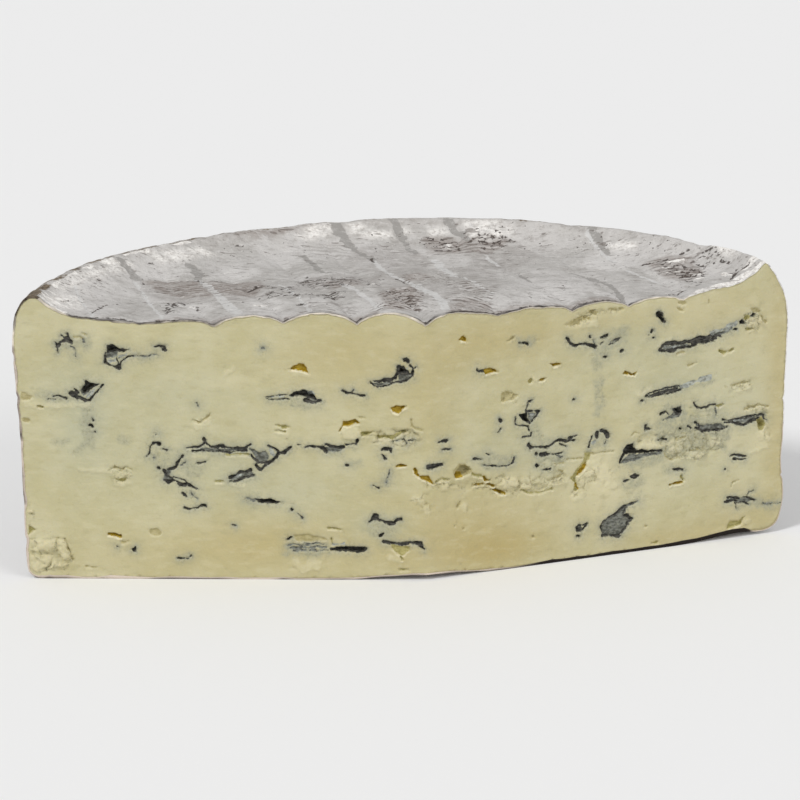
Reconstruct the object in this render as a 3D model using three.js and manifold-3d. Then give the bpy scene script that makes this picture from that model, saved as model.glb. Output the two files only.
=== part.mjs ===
// A wedge of soft blue cheese: a little under half of a small wheel, with two flat cut faces
// that meet at the wheel's axis. The top rind is dished, has a raised rim and is crossed by
// parallel drain grooves, so the cut edge along the top is scalloped.
// Millimetres, +Z up. The origin is on the floor under the middle of the bounding box.

import * as THREE from 'three';
import { mergeVertices } from 'three/addons/utils/BufferGeometryUtils.js';
import Module from 'manifold-3d';

// The wheel's section as [radius, height] places, from the foot up the side, over the rim and
// in along the top to the axis. One is for most of the wheel, the other for the right cut, where
// the foot has broken away, the side stands straight and the shoulder is worn to a slope. The
// rim's highest place has the same number in both.
const WHOLE_SECTION = [
  [94, 0], [98, 0.2], [100, 1.4], [100.6, 3.6], [100.8, 6.6], [100.9, 10], [101.2, 24],
  [101.9, 42], [102.8, 56], [103, 60.5], [102.6, 66], [101.2, 70], [99.2, 72.4], [96.8, 73],
  [93.5, 70.6], [88, 68.1], [80, 66.9], [68, 66.5], [40, 68.2], [18, 68.7], [0, 68.9],
];
const WORN_SECTION = [
  [92, 1.3], [95.5, 0.9], [98.8, 1.1], [101.4, 2.8], [102.8, 6], [103, 10.4], [102.4, 19],
  [102.7, 30], [102.9, 44], [103, 58], [102.4, 63.5], [100.5, 67.4], [98.5, 70.5], [96.2, 73],
  [93.2, 70.4], [88, 68.6], [80, 67.4], [68, 66.7], [40, 67.3], [18, 67.8], [0, 68.9],
];
const RIM_PLACE = 13;
const WHEEL_RADIUS = 103;
const WORN_SPREAD = THREE.MathUtils.degToRad(30);

// The underside is flat, apart from a slight hollow at the wheel's axis and a lift at the
// right cut's broken foot
const HOLLOW_DEPTH = 1.3;
const HOLLOW_RADIUS = 23;
const LIFT_HEIGHT = 1.3;
const LIFT_START_RADIUS = 70;

// Driving dimensions of the cut: angles about the wheel's axis, counted from +X towards +Y
const RIGHT_CUT = THREE.MathUtils.degToRad(26);
const LEFT_CUT = THREE.MathUtils.degToRad(180);

// Drain grooves: straight lines across the top. Each has its place where it meets the plane
// of the left cut, and its depth there. Away from the cuts they are shallower.
const GROOVE_SLANT = THREE.MathUtils.degToRad(72);
const GROOVES = [
  [-107, 0.4], [-89, 0.4], [-71, 0.6], [-53.5, 1.9], [-35.3, 2.3], [-17.5, 2.7], [-0.3, 3.2],
  [20.4, 1.6], [41.8, 2], [59, 2], [75.6, 1.7], [92.6, 1.4], [110, 1],
];
const GROOVE_SHARPNESS = 0.7;
const GROOVE_FADE_START = 76;
const GROOVE_FADE_END = 97;
const GROOVE_CUT_REACH = 9;
const GROOVE_DEPTH_AWAY = 0.4;

// Mesh steps: how many steps each stretch between two section places gets
const ANGLE_STEPS = 64;
const SECTION_STEPS = [1, 1, 1, 1, 1, 1, 1, 1, 1, 1, 1, 1, 1, 1, 2, 3, 4, 10, 8, 6];
const UNDERSIDE_RADII = [0, 8, 16, HOLLOW_RADIUS, 46, LIFT_START_RADIUS, 82];

// Open pockets in the cut faces: u is along the face from the wheel's axis, z is the height,
// long and high are the mouth's size, deep is how far it goes in, tilt is in degrees.
const LEFT_POCKETS = [
  { u: 31.6, z: 54.4, long: 5.6, high: 3.0, deep: 2.6, tilt: 0 },
  { u: 30.2, z: 46.9, long: 9.0, high: 3.4, deep: 2.4, tilt: -6 },
  { u: 6.2, z: 53.2, long: 6.6, high: 4.0, deep: 2.2, tilt: 48 },
  { u: 77.6, z: 57.9, long: 5.8, high: 4.6, deep: 2.8, tilt: -20 },
  { u: 84.4, z: 48.9, long: 6.4, high: 4.2, deep: 2.4, tilt: 30 },
  { u: 37.4, z: 32.6, long: 8.6, high: 2.6, deep: 2.2, tilt: 28 },
  { u: 20.2, z: 7.4, long: 9.6, high: 1.9, deep: 1.8, tilt: -2 },
  { u: 52.0, z: 33.6, long: 8.0, high: 1.8, deep: 1.6, tilt: 2 },
];
const RIGHT_POCKETS = [
  { u: 10.4, z: 27.2, long: 5.4, high: 3.2, deep: 3.0, tilt: 4 },
  { u: 59.4, z: 26.0, long: 12.0, high: 4.0, deep: 4.2, tilt: 12 },
  { u: 75.6, z: 54.0, long: 22.0, high: 2.4, deep: 2.0, tilt: 9 },
  { u: 65.6, z: 41.2, long: 11.0, high: 2.2, deep: 1.8, tilt: 9 },
  { u: 87.0, z: 31.4, long: 19.0, high: 2.0, deep: 1.8, tilt: 4 },
  { u: 93.4, z: 58.0, long: 6.6, high: 5.0, deep: 2.6, tilt: -30 },
  { u: 55.0, z: 8.6, long: 7.4, high: 5.6, deep: 2.0, tilt: 40 },
  { u: 38.6, z: 25.0, long: 3.0, high: 7.0, deep: 2.4, tilt: -14 },
];
const POCKET_LONG_SIDES = 10;
const POCKET_HIGH_SIDES = 6;

const PASTE_COLOUR = 0xbeb893;
const PASTE_ROUGHNESS = 0.55;

function smoothStep(from, to, value) {
  return THREE.MathUtils.smoothstep(value, from, to);
}

// Distance from a point on the top to the nearer cut face
function cutGap(x, y) {
  return Math.max(Math.min(y, y * Math.cos(RIGHT_CUT) - x * Math.sin(RIGHT_CUT)), 0);
}

// How far a point on the top lies below the crests between the grooves
function grooveDepth(x, y) {
  const place = x + y / Math.tan(GROOVE_SLANT);
  const next = GROOVES.findIndex(([groove]) => groove > place);
  const [from, fromDepth] = GROOVES[next - 1];
  const [to, toDepth] = GROOVES[next];
  const share = (place - from) / (to - from);
  const scallop = 1 - Math.pow(Math.sin(Math.PI * share), GROOVE_SHARPNESS);
  const fade = 1 - smoothStep(GROOVE_FADE_START, GROOVE_FADE_END, Math.hypot(x, y));
  const nearCut = Math.exp(-cutGap(x, y) / GROOVE_CUT_REACH);
  const depth = THREE.MathUtils.lerp(fromDepth, toDepth, share);
  return depth * scallop * fade * THREE.MathUtils.lerp(GROOVE_DEPTH_AWAY, 1, nearCut);
}

// How near an angle is to the worn right cut, from 0 to 1
function wear(angle) {
  return 1 - smoothStep(0, WORN_SPREAD, angle - RIGHT_CUT);
}

function undersideHeight(radius, angle) {
  const hollow = HOLLOW_DEPTH * (1 - smoothStep(0, HOLLOW_RADIUS, radius));
  const lift = LIFT_HEIGHT * smoothStep(LIFT_START_RADIUS, WORN_SECTION[0][0], radius);
  return hollow + lift * wear(angle);
}

// The section curve at one angle: a blend of the whole and the worn section
function sectionCurve(angle) {
  const blended = WHOLE_SECTION.map(([radius, height], i) => {
    const [wornRadius, wornHeight] = WORN_SECTION[i];
    const share = wear(angle);
    const blendedRadius = THREE.MathUtils.lerp(radius, wornRadius, share);
    return new THREE.Vector3(blendedRadius, THREE.MathUtils.lerp(height, wornHeight, share), 0);
  });
  return new THREE.CatmullRomCurve3(blended, false, 'centripetal');
}

// The section at one angle as [radius, height] points, from the underside's middle, out to
// the foot, up the side, over the rim and in along the grooved top
function sectionAt(angle) {
  const curve = sectionCurve(angle);
  const stretches = SECTION_STEPS.length;
  const points = UNDERSIDE_RADII.map((radius) => [radius, undersideHeight(radius, angle)]);
  const addPlace = (share, grooved) => {
    const { x: radius, y: height } = curve.getPoint(share);
    const depth = grooved ? grooveDepth(radius * Math.cos(angle), radius * Math.sin(angle)) : 0;
    points.push([radius, height - depth]);
  };
  SECTION_STEPS.forEach((steps, stretch) => {
    for (let i = 0; i < steps; i += 1) {
      addPlace((stretch + i / steps) / stretches, stretch >= RIM_PLACE);
    }
  });
  addPlace(1, true);
  return points;
}

// Joins the sections into one closed skin: the turned surface and the two flat cut faces
function wedgeGeometry() {
  const positions = [];
  const faces = [];
  const sections = [];
  for (let step = 0; step <= ANGLE_STEPS; step += 1) {
    const angle = THREE.MathUtils.lerp(RIGHT_CUT, LEFT_CUT, step / ANGLE_STEPS);
    const section = sectionAt(angle);
    sections.push(section);
    for (const [radius, height] of section) {
      positions.push(radius * Math.cos(angle), radius * Math.sin(angle), height);
    }
  }
  const count = sections[0].length;
  for (let step = 0; step < ANGLE_STEPS; step += 1) {
    for (let i = 0; i < count - 1; i += 1) {
      const near = step * count + i;
      const far = near + count;
      const onAxisBelow = i === 0;
      const onAxisAbove = i === count - 2;
      if (!onAxisBelow) {
        faces.push(near, far, near + 1);
      }
      if (!onAxisAbove) {
        faces.push(near + 1, far, far + 1);
      }
      if (onAxisBelow) {
        faces.splice(-3, 3, near, far + 1, near + 1);
      }
    }
  }
  addCutFace(faces, sections[0], 0, false);
  addCutFace(faces, sections[ANGLE_STEPS], ANGLE_STEPS * count, true);
  const geometry = new THREE.BufferGeometry();
  geometry.setAttribute('position', new THREE.Float32BufferAttribute(positions, 3));
  geometry.setIndex(faces);
  return mergeVertices(geometry, 1e-4);
}

function addCutFace(faces, section, firstVertex, flipped) {
  const outline = section.map(([radius, height]) => new THREE.Vector2(radius, height));
  for (const [a, b, c] of THREE.ShapeUtils.triangulateShape(outline, [])) {
    const order = flipped ? [a, c, b] : [a, b, c];
    faces.push(...order.map((index) => firstVertex + index));
  }
}

// A lens that bites into the cut face at one angle
function pocketGeometry(pocket, cutAngle) {
  const lens = new THREE.SphereGeometry(1, POCKET_LONG_SIDES, POCKET_HIGH_SIDES);
  lens.scale(pocket.long / 2, pocket.deep, pocket.high / 2);
  const tilt = THREE.MathUtils.degToRad(pocket.tilt);
  const mirrored = cutAngle === LEFT_CUT ? 1 : -1;
  lens.rotateY(mirrored * tilt);
  lens.translate(pocket.u, 0, pocket.z);
  lens.rotateZ(cutAngle);
  return lens;
}

function toSolid(wasm, geometry) {
  const plain = geometry.clone();
  plain.deleteAttribute('normal');
  plain.deleteAttribute('uv');
  const merged = mergeVertices(plain, 1e-4);
  const mesh = new wasm.Mesh({
    numProp: 3,
    vertProperties: new Float32Array(merged.attributes.position.array),
    triVerts: new Uint32Array(merged.index.array),
  });
  return new wasm.Manifold(mesh);
}

function toGeometry(solid) {
  const mesh = solid.getMesh();
  const geometry = new THREE.BufferGeometry();
  geometry.setAttribute('position', new THREE.BufferAttribute(mesh.vertProperties, 3));
  geometry.setIndex(new THREE.BufferAttribute(mesh.triVerts, 1));
  geometry.computeVertexNormals();
  return geometry;
}

function cheeseGeometry(wasm) {
  let cheese = toSolid(wasm, wedgeGeometry());
  for (const pocket of LEFT_POCKETS) {
    cheese = cheese.subtract(toSolid(wasm, pocketGeometry(pocket, LEFT_CUT)));
  }
  for (const pocket of RIGHT_POCKETS) {
    cheese = cheese.subtract(toSolid(wasm, pocketGeometry(pocket, RIGHT_CUT)));
  }
  return toGeometry(cheese);
}

const wasm = await Module();
wasm.setup();

const paste = new THREE.MeshStandardMaterial({
  color: PASTE_COLOUR,
  roughness: PASTE_ROUGHNESS,
  metalness: 0,
});
const wedge = new THREE.Mesh(cheeseGeometry(wasm), paste);
wedge.name = 'cheese_wedge';

// Puts the middle of the wedge's box over the origin
const boxWest = -WHEEL_RADIUS;
const boxEast = WHEEL_RADIUS * Math.cos(RIGHT_CUT);
wedge.position.set(-(boxWest + boxEast) / 2, -WHEEL_RADIUS / 2, 0);

const part = new THREE.Group();
part.name = 'blue_cheese_wedge';
part.add(wedge);

export default part;
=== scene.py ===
"""A wedge of soft blue cheese: two cut faces of veined paste inside a thin, grooved, bloomy rind.

Lengths are in millimetres until a mesh is made. The wheel's axis is the wedge's point, angles
turn about it from +X towards +Y, and u is the distance from it along a cut face: below zero on
the left face, above zero on the right face.
"""

import math

import bmesh
import bpy
import numpy as np
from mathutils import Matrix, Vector
from mathutils.geometry import delaunay_2d_cdt


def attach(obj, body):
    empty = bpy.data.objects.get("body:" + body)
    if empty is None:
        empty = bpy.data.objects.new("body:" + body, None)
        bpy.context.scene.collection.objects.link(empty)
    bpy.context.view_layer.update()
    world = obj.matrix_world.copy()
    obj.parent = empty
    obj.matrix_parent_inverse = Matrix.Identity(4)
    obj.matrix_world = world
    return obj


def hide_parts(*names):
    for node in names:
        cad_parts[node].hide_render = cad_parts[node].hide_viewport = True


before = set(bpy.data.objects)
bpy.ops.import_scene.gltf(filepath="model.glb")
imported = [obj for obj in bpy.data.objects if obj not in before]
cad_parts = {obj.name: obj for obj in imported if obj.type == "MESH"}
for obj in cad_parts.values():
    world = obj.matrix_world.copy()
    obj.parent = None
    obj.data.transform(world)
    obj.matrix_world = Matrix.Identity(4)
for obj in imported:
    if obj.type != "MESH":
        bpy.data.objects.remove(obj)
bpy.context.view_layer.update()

MM = 0.001
WHEEL_RADIUS = 103.0
RIGHT_CUT = math.radians(26)
LEFT_CUT = math.radians(180)
AXIS_X = WHEEL_RADIUS * (1 - math.cos(RIGHT_CUT)) / 2
AXIS_Y = -WHEEL_RADIUS / 2

# ---------------------------------------------------------------- shape of the wheel

# Half sections as (radius, height), from the foot up the side, over the rim and in to the axis
WHOLE_SECTION = [
    (94, 0), (98, 0.2), (100, 1.4), (100.6, 3.6), (100.8, 6.6), (100.9, 10), (101.2, 24),
    (101.9, 42), (102.8, 56), (103, 60.5), (102.6, 66), (101.2, 70), (99.2, 72.4), (96.8, 73),
    (93.5, 70.6), (88, 68.1), (80, 66.9), (68, 66.5), (40, 68.2), (18, 68.7), (0, 68.9),
]
WORN_SECTION = [
    (92, 1.3), (95.5, 0.9), (98.8, 1.1), (101.6, 2.6), (103, 6), (103.6, 10.4), (102.6, 19),
    (103.1, 28), (103.4, 44), (103.6, 58), (102.7, 63.5), (100.8, 67.4), (98.8, 70.6), (96.4, 73),
    (93.2, 70.4), (88, 68.6), (80, 67.4), (68, 66.7), (40, 67.3), (18, 67.8), (0, 68.9),
]
RIM_PLACE = 13
RIM_HEIGHT = WHOLE_SECTION[RIM_PLACE][1]
WORN_SPREAD = math.radians(30)
HOLLOW_DEPTH, HOLLOW_RADIUS = 1.3, 23.0
LIFT_HEIGHT, LIFT_START_RADIUS = 1.3, 70.0
# How much the rim rises or sags around the wheel, as (angle in degrees, mm)
RIM_LIFT = [
    (26, 0), (29, 1.1), (33, 0.8), (42, 0.3), (53, 0.5), (65, 0.2), (80, 0.5), (100, 0.45), (106, 0),
    (112, -0.4), (125, -0.65), (140, -0.75), (151, -0.6), (157, -0.7), (164, -1.3), (170, -1.1),
    (175, -0.5), (180, 0),
]

# Drain grooves: where each meets the plane of the left cut, and its depth
GROOVE_SLANT = math.radians(72)
GROOVES = [
    (-107, 0.4), (-89, 0.4), (-71, 0.6), (-53.5, 1.9), (-35.3, 2.3), (-17.5, 2.7), (-0.3, 3.2),
    (20.4, 1.6), (41.8, 2), (59, 2), (75.6, 1.7), (92.6, 1.4), (110, 1),
]
GROOVE_SHARPNESS, GROOVE_SHARPNESS_AWAY = 0.7, 0.45
GROOVE_FADE = (76, 97)
GROOVE_CUT_REACH = 9.0
GROOVE_DEPTH_AWAY = 0.4

# How thick the rind's cut edge is, in mm: along the top, down the left and right side, and
# along the underside as (u, thickness) places
TOP_RIND = [
    (-103, 0.9), (-97, 0.9), (-94.5, 0.6), (-90, 0.45), (-79, 0.4), (-56, 0.34), (-48, 0.42),
    (-16, 0.42), (-11, 0.55), (-5, 0.5), (5, 0.4), (20, 0.28), (57, 0.3), (73, 0.32), (76, 0.4),
    (90, 0.4), (97, 0.35),
]
LEFT_SIDE_RIND = 0.45
RIGHT_SIDE_RIND = 0.16
# Along the right face's foot the underside's edge is widened to carry a painted shadow
UNDER_RIND = [
    (-101, 0.6), (-60, 0.55), (-42, 0.45), (-20, 0.4), (0, 0.4), (15, 0.4), (45, 0.65), (60, 0.8),
    (75, 0.95), (92, 1.0), (94.5, 0.2), (104, 0.12),
]
# How dark the cut edge is along the top, as (u, 0 pale to 1 dark) places: the rind's brown line,
# with painted shade in the peaks where the grooves notch the left face's edge
TOP_EDGE_DARKNESS = [
    (-99, 0.6), (-94, 0.1), (-90, 0.2), (-88, 0.95), (-79, 0.95), (-76, 0.5), (-70, 0.85), (-56, 0.75),
    (-53, 0.95), (-50, 0.4), (-47, 0.2), (-38, 0.5), (-35, 0.95), (-32, 0.3), (-21, 0.3), (-18, 0.9),
    (-15, 0.3), (-3, 0.4), (0, 0.9), (3, 0.5), (8, 0.9), (20, 0.9), (42, 0.85), (57, 0.8), (60, 0.3),
    (70, 0.1), (96, 0),
]
# On a cut's outline: the radii between which the top or underside turns into the side, the height
# that parts the top from the underside, and the height below which the cut edge is browner
SIDE_RADII = (97, 100.5)
TOP_ABOVE = 30
BROWN_EDGE_BELOW = 60
# Heights between which the side's lumps and pits fade out towards the rim
LUMPS_FADE = (71.5, RIM_HEIGHT)
PITS_FADE = (69, 72)
CURVE_STEPS = 16
NOISE_OCTAVES, NOISE_TOTAL = 3, 1.6


def smooth_step(low, high, value):
    share = np.clip((np.asarray(value, float) - low) / (high - low), 0, 1)
    return share * share * (3 - 2 * share)


def lerp(a, b, share):
    return a + (b - a) * share


def lattice(ix, iy, seed):
    value = np.sin(ix * 127.1 + iy * 311.7 + seed * 74.7) * 43758.5453
    return value - np.floor(value)


def noise(x, y, size, seed):
    """Smooth noise from -1 to 1 whose bumps are about `size` mm across."""
    ix, iy = np.floor(x / size), np.floor(y / size)
    fx, fy = smooth_step(0, 1, x / size - ix), smooth_step(0, 1, y / size - iy)
    low = lerp(lattice(ix, iy, seed), lattice(ix + 1, iy, seed), fx)
    high = lerp(lattice(ix, iy + 1, seed), lattice(ix + 1, iy + 1, seed), fx)
    return 2 * lerp(low, high, fy) - 1


def line_noise(place, size, seed):
    return noise(place, 0 * place, size, seed)


def rough_noise(x, y, size, seed):
    """Noise with finer bumps on the coarse ones."""
    total = sum(noise(x, y, size / 2 ** i, seed + i) / 2 ** i for i in range(NOISE_OCTAVES))
    return total / NOISE_TOTAL


def smooth_curve(places):
    """A dense smooth curve through the places, as (place number, radius, height) columns."""
    points = np.array(places, float)
    knots = np.concatenate([[0], np.cumsum(np.linalg.norm(np.diff(points, axis=0), axis=1) ** 0.5)])
    slopes = np.gradient(points, knots, axis=0)
    rows = []
    for i in range(len(points) - 1):
        span = knots[i + 1] - knots[i]
        for s in np.arange(CURVE_STEPS) / CURVE_STEPS:
            near, far = (1 + 2 * s) * (1 - s) ** 2, s * s * (3 - 2 * s)
            near_slope, far_slope = s * (1 - s) ** 2 * span, s * s * (s - 1) * span
            place = (near * points[i] + far * points[i + 1]
                     + near_slope * slopes[i] + far_slope * slopes[i + 1])
            rows.append((i + s, *place))
    rows.append((len(points) - 1, *points[-1]))
    return np.array(rows).T


WHOLE_CURVE = smooth_curve(WHOLE_SECTION)
WORN_CURVE = smooth_curve(WORN_SECTION)


def wear(angle):
    """How near an angle is to the worn right cut, from 0 to 1."""
    return 1 - smooth_step(0, WORN_SPREAD, angle - RIGHT_CUT)


def groove_depth(x, y):
    """How far the top lies below the crests between the grooves."""
    place = x + y / math.tan(GROOVE_SLANT) + 0.5 * noise(x, y, 9, 11)
    lines, depths = np.array(GROOVES).T
    after = np.clip(np.searchsorted(lines, place), 1, len(lines) - 1)
    share = np.clip((place - lines[after - 1]) / (lines[after] - lines[after - 1]), 0, 1)
    near_cut = np.exp(-cut_gap(x, y) / GROOVE_CUT_REACH)
    scallop = 1 - np.sin(np.pi * share) ** lerp(GROOVE_SHARPNESS_AWAY, GROOVE_SHARPNESS, near_cut)
    fade = (1 - smooth_step(*GROOVE_FADE, np.hypot(x, y))) * lerp(GROOVE_DEPTH_AWAY, 1, near_cut)
    return lerp(depths[after - 1], depths[after], share) * scallop * fade


def cut_gap(x, y):
    """Distance to the nearer cut face."""
    return np.maximum(np.minimum(y, y * math.cos(RIGHT_CUT) - x * math.sin(RIGHT_CUT)), 0)


def even_crest_radius(angle):
    return lerp(WHOLE_SECTION[RIM_PLACE][0], WORN_SECTION[RIM_PLACE][0], wear(angle))


def crest_radius(angle):
    """Radius of the rim's highest line, a little uneven between the cuts."""
    around = angle * WHEEL_RADIUS
    uneven = 0.4 * line_noise(around, 6.5, 35) + 0.2 * line_noise(around, 2.3, 36)
    return even_crest_radius(angle) + uneven * at_rest(angle)


def crest_lift(angle):
    """Uneven height of the rim, in mm, none at the cuts."""
    around = angle * WHEEL_RADIUS
    uneven = (0.25 * line_noise(around, 11, 37) + 0.14 * line_noise(around, 3.1, 38)
              + 0.06 * line_noise(around, 1.3, 39))
    return (uneven - 0.3) * at_rest(angle) + np.interp(np.degrees(angle), *np.array(RIM_LIFT).T)


def at_rest(angle):
    """0 at the two cuts, 1 a few mm away from them."""
    return smooth_step(0, 0.03, angle - RIGHT_CUT) * smooth_step(0, 0.03, LEFT_CUT - angle)


def top_height(radius, angle):
    """Height of the dished, grooved and slightly lumpy top."""
    x, y = radius * np.cos(angle), radius * np.sin(angle)
    heights = []
    for curve in (WHOLE_CURVE, WORN_CURVE):
        inner = curve[:, curve[0] >= RIM_PLACE][:, ::-1]
        share = radius / crest_radius(angle)
        heights.append(np.interp(share, inner[1] / inner[1][-1], inner[2]))
    smooth = lerp(*heights, wear(angle)) + crest_lift(angle) * smooth_step(90, 96.5, radius)
    middle = 1 - smooth_step(88, 96.5, radius)
    lumpy = 0.16 * rough_noise(x, y, 3.4, 21) + 0.05 * noise(x, y, 0.9, 24)
    return smooth - groove_depth(x, y) + lumpy * middle + rind_unevenness(radius, angle, smooth)


def rind_unevenness(radius, angle, height):
    """Low swells and small lumps, the same on every side of the rim."""
    around = angle * WHEEL_RADIUS
    along = radius + RIM_HEIGHT - height
    lumps = 0.22 * noise(around, along, 14, 31) + 0.12 * noise(around, along, 3.1, 32)
    near_foot = smooth_step(0, 3, height)
    return smooth_step(2, 12, radius) * lumps * near_foot * (1 - smooth_step(*LUMPS_FADE, height))


def side_place(place, angle):
    """Radius and height on the side, for a place number from the rim's 13 down to the foot's 0."""
    share = wear(angle)
    radius, height = (lerp(*(np.interp(place, curve[0], curve[row]) for curve in (WHOLE_CURVE, WORN_CURVE)),
                           share) for row in (1, 2))
    near_rim = smooth_step(9.5, RIM_PLACE, place)
    crest = crest_radius(angle) - even_crest_radius(angle)
    radius = radius - np.abs(rind_unevenness(radius, angle, height)) + crest * near_rim
    return radius - crust_pits(angle, height), height + crest_lift(angle) * near_rim


def crust_pits(angle, height):
    """Depth of the small pits in the side's crust, in mm."""
    around = angle * WHEEL_RADIUS
    pits = smooth_step(0.1, 0.8, rough_noise(around, height, 2.6, 34))
    return 0.55 * pits * smooth_step(1, 6, height) * (1 - smooth_step(*PITS_FADE, height))


def under_height(radius, angle):
    """Height of the underside: hollow at the axis, lifted at the worn cut's foot."""
    hollow = HOLLOW_DEPTH * (1 - smooth_step(0, HOLLOW_RADIUS, radius))
    lift = LIFT_HEIGHT * smooth_step(LIFT_START_RADIUS, WORN_SECTION[0][0], radius)
    return hollow + lift * wear(angle)


# ---------------------------------------------------------------- marks on the cut faces

# Broad tints of the paste: (u, z, half width, half height, strength)
WARM_TINTS = [
    (0, 45, 9, 11, 0.5),
    (-45, 10, 14, 7, 0.55),
    (-4, 60, 26, 9, 0.5), (10, 12, 26, 12, 0.9), (20, 5, 14, 5, 0.9), (101, 36, 4, 30, 1.0),
    (-26, 56, 14, 9, 0.4), (-28, 8, 26, 8, 0.5), (48, 61, 18, 5, 0.5), (92, 6, 14, 7, 0.5),
    (-70, 6, 24, 7, 0.4), (72, 2, 20, 4, 0.7), (20, 60, 16, 7, 0.6), (84, 62, 14, 6, 0.4),
]
COOL_TINTS = [
    (-86, 40, 6, 10, 0.7), (-54, 30, 16, 8, 0.5), (-62, 48, 22, 7, 0.35), (72, 46, 18, 6, 0.5),
    (52, 56, 12, 5, 0.6), (-12, 14, 8, 4, 0.8), (34, 28, 8, 7, 0.6), (88, 36, 12, 8, 0.6),
    (-80, 34, 18, 14, 0.3), (-34, 22, 16, 7, 0.4), (20, 32, 12, 5, 0.4), (75, 22, 14, 8, 0.5),
    (-90, 52, 10, 6, 0.4),
]
# Painted light: broad paler patches brighten the right face in place of more lamp light, small ones are
# painted highlights on raised flakes and lumps
PAINTED_LIGHT_TINTS = [
    (48, 15, 12, 8, 0.5),
    (90, 44, 12, 18, 0.45),
    (56, 22, 26, 9, 0.4),
    (-47, 51.5, 6, 2.2, 0.7), (-9, 35.4, 5, 1.4, 0.6), (50, 21, 5, 6, 0.7), (63, 28.5, 5, 2.4, 0.8),
    (26, 22, 6, 2.4, 0.5), (-80, 64, 16, 2, 0.3), (70, 63, 16, 3, 0.5), (-66, 12, 8, 4, 0.2),
    (92, 24, 10, 12, 0.4), (94, 57, 3, 2, 0.6), (97, 26, 3, 2, 0.6), (-97, 14, 4, 5, 0.4),
    (-20, 38.5, 3, 1.6, 0.5),
]

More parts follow.
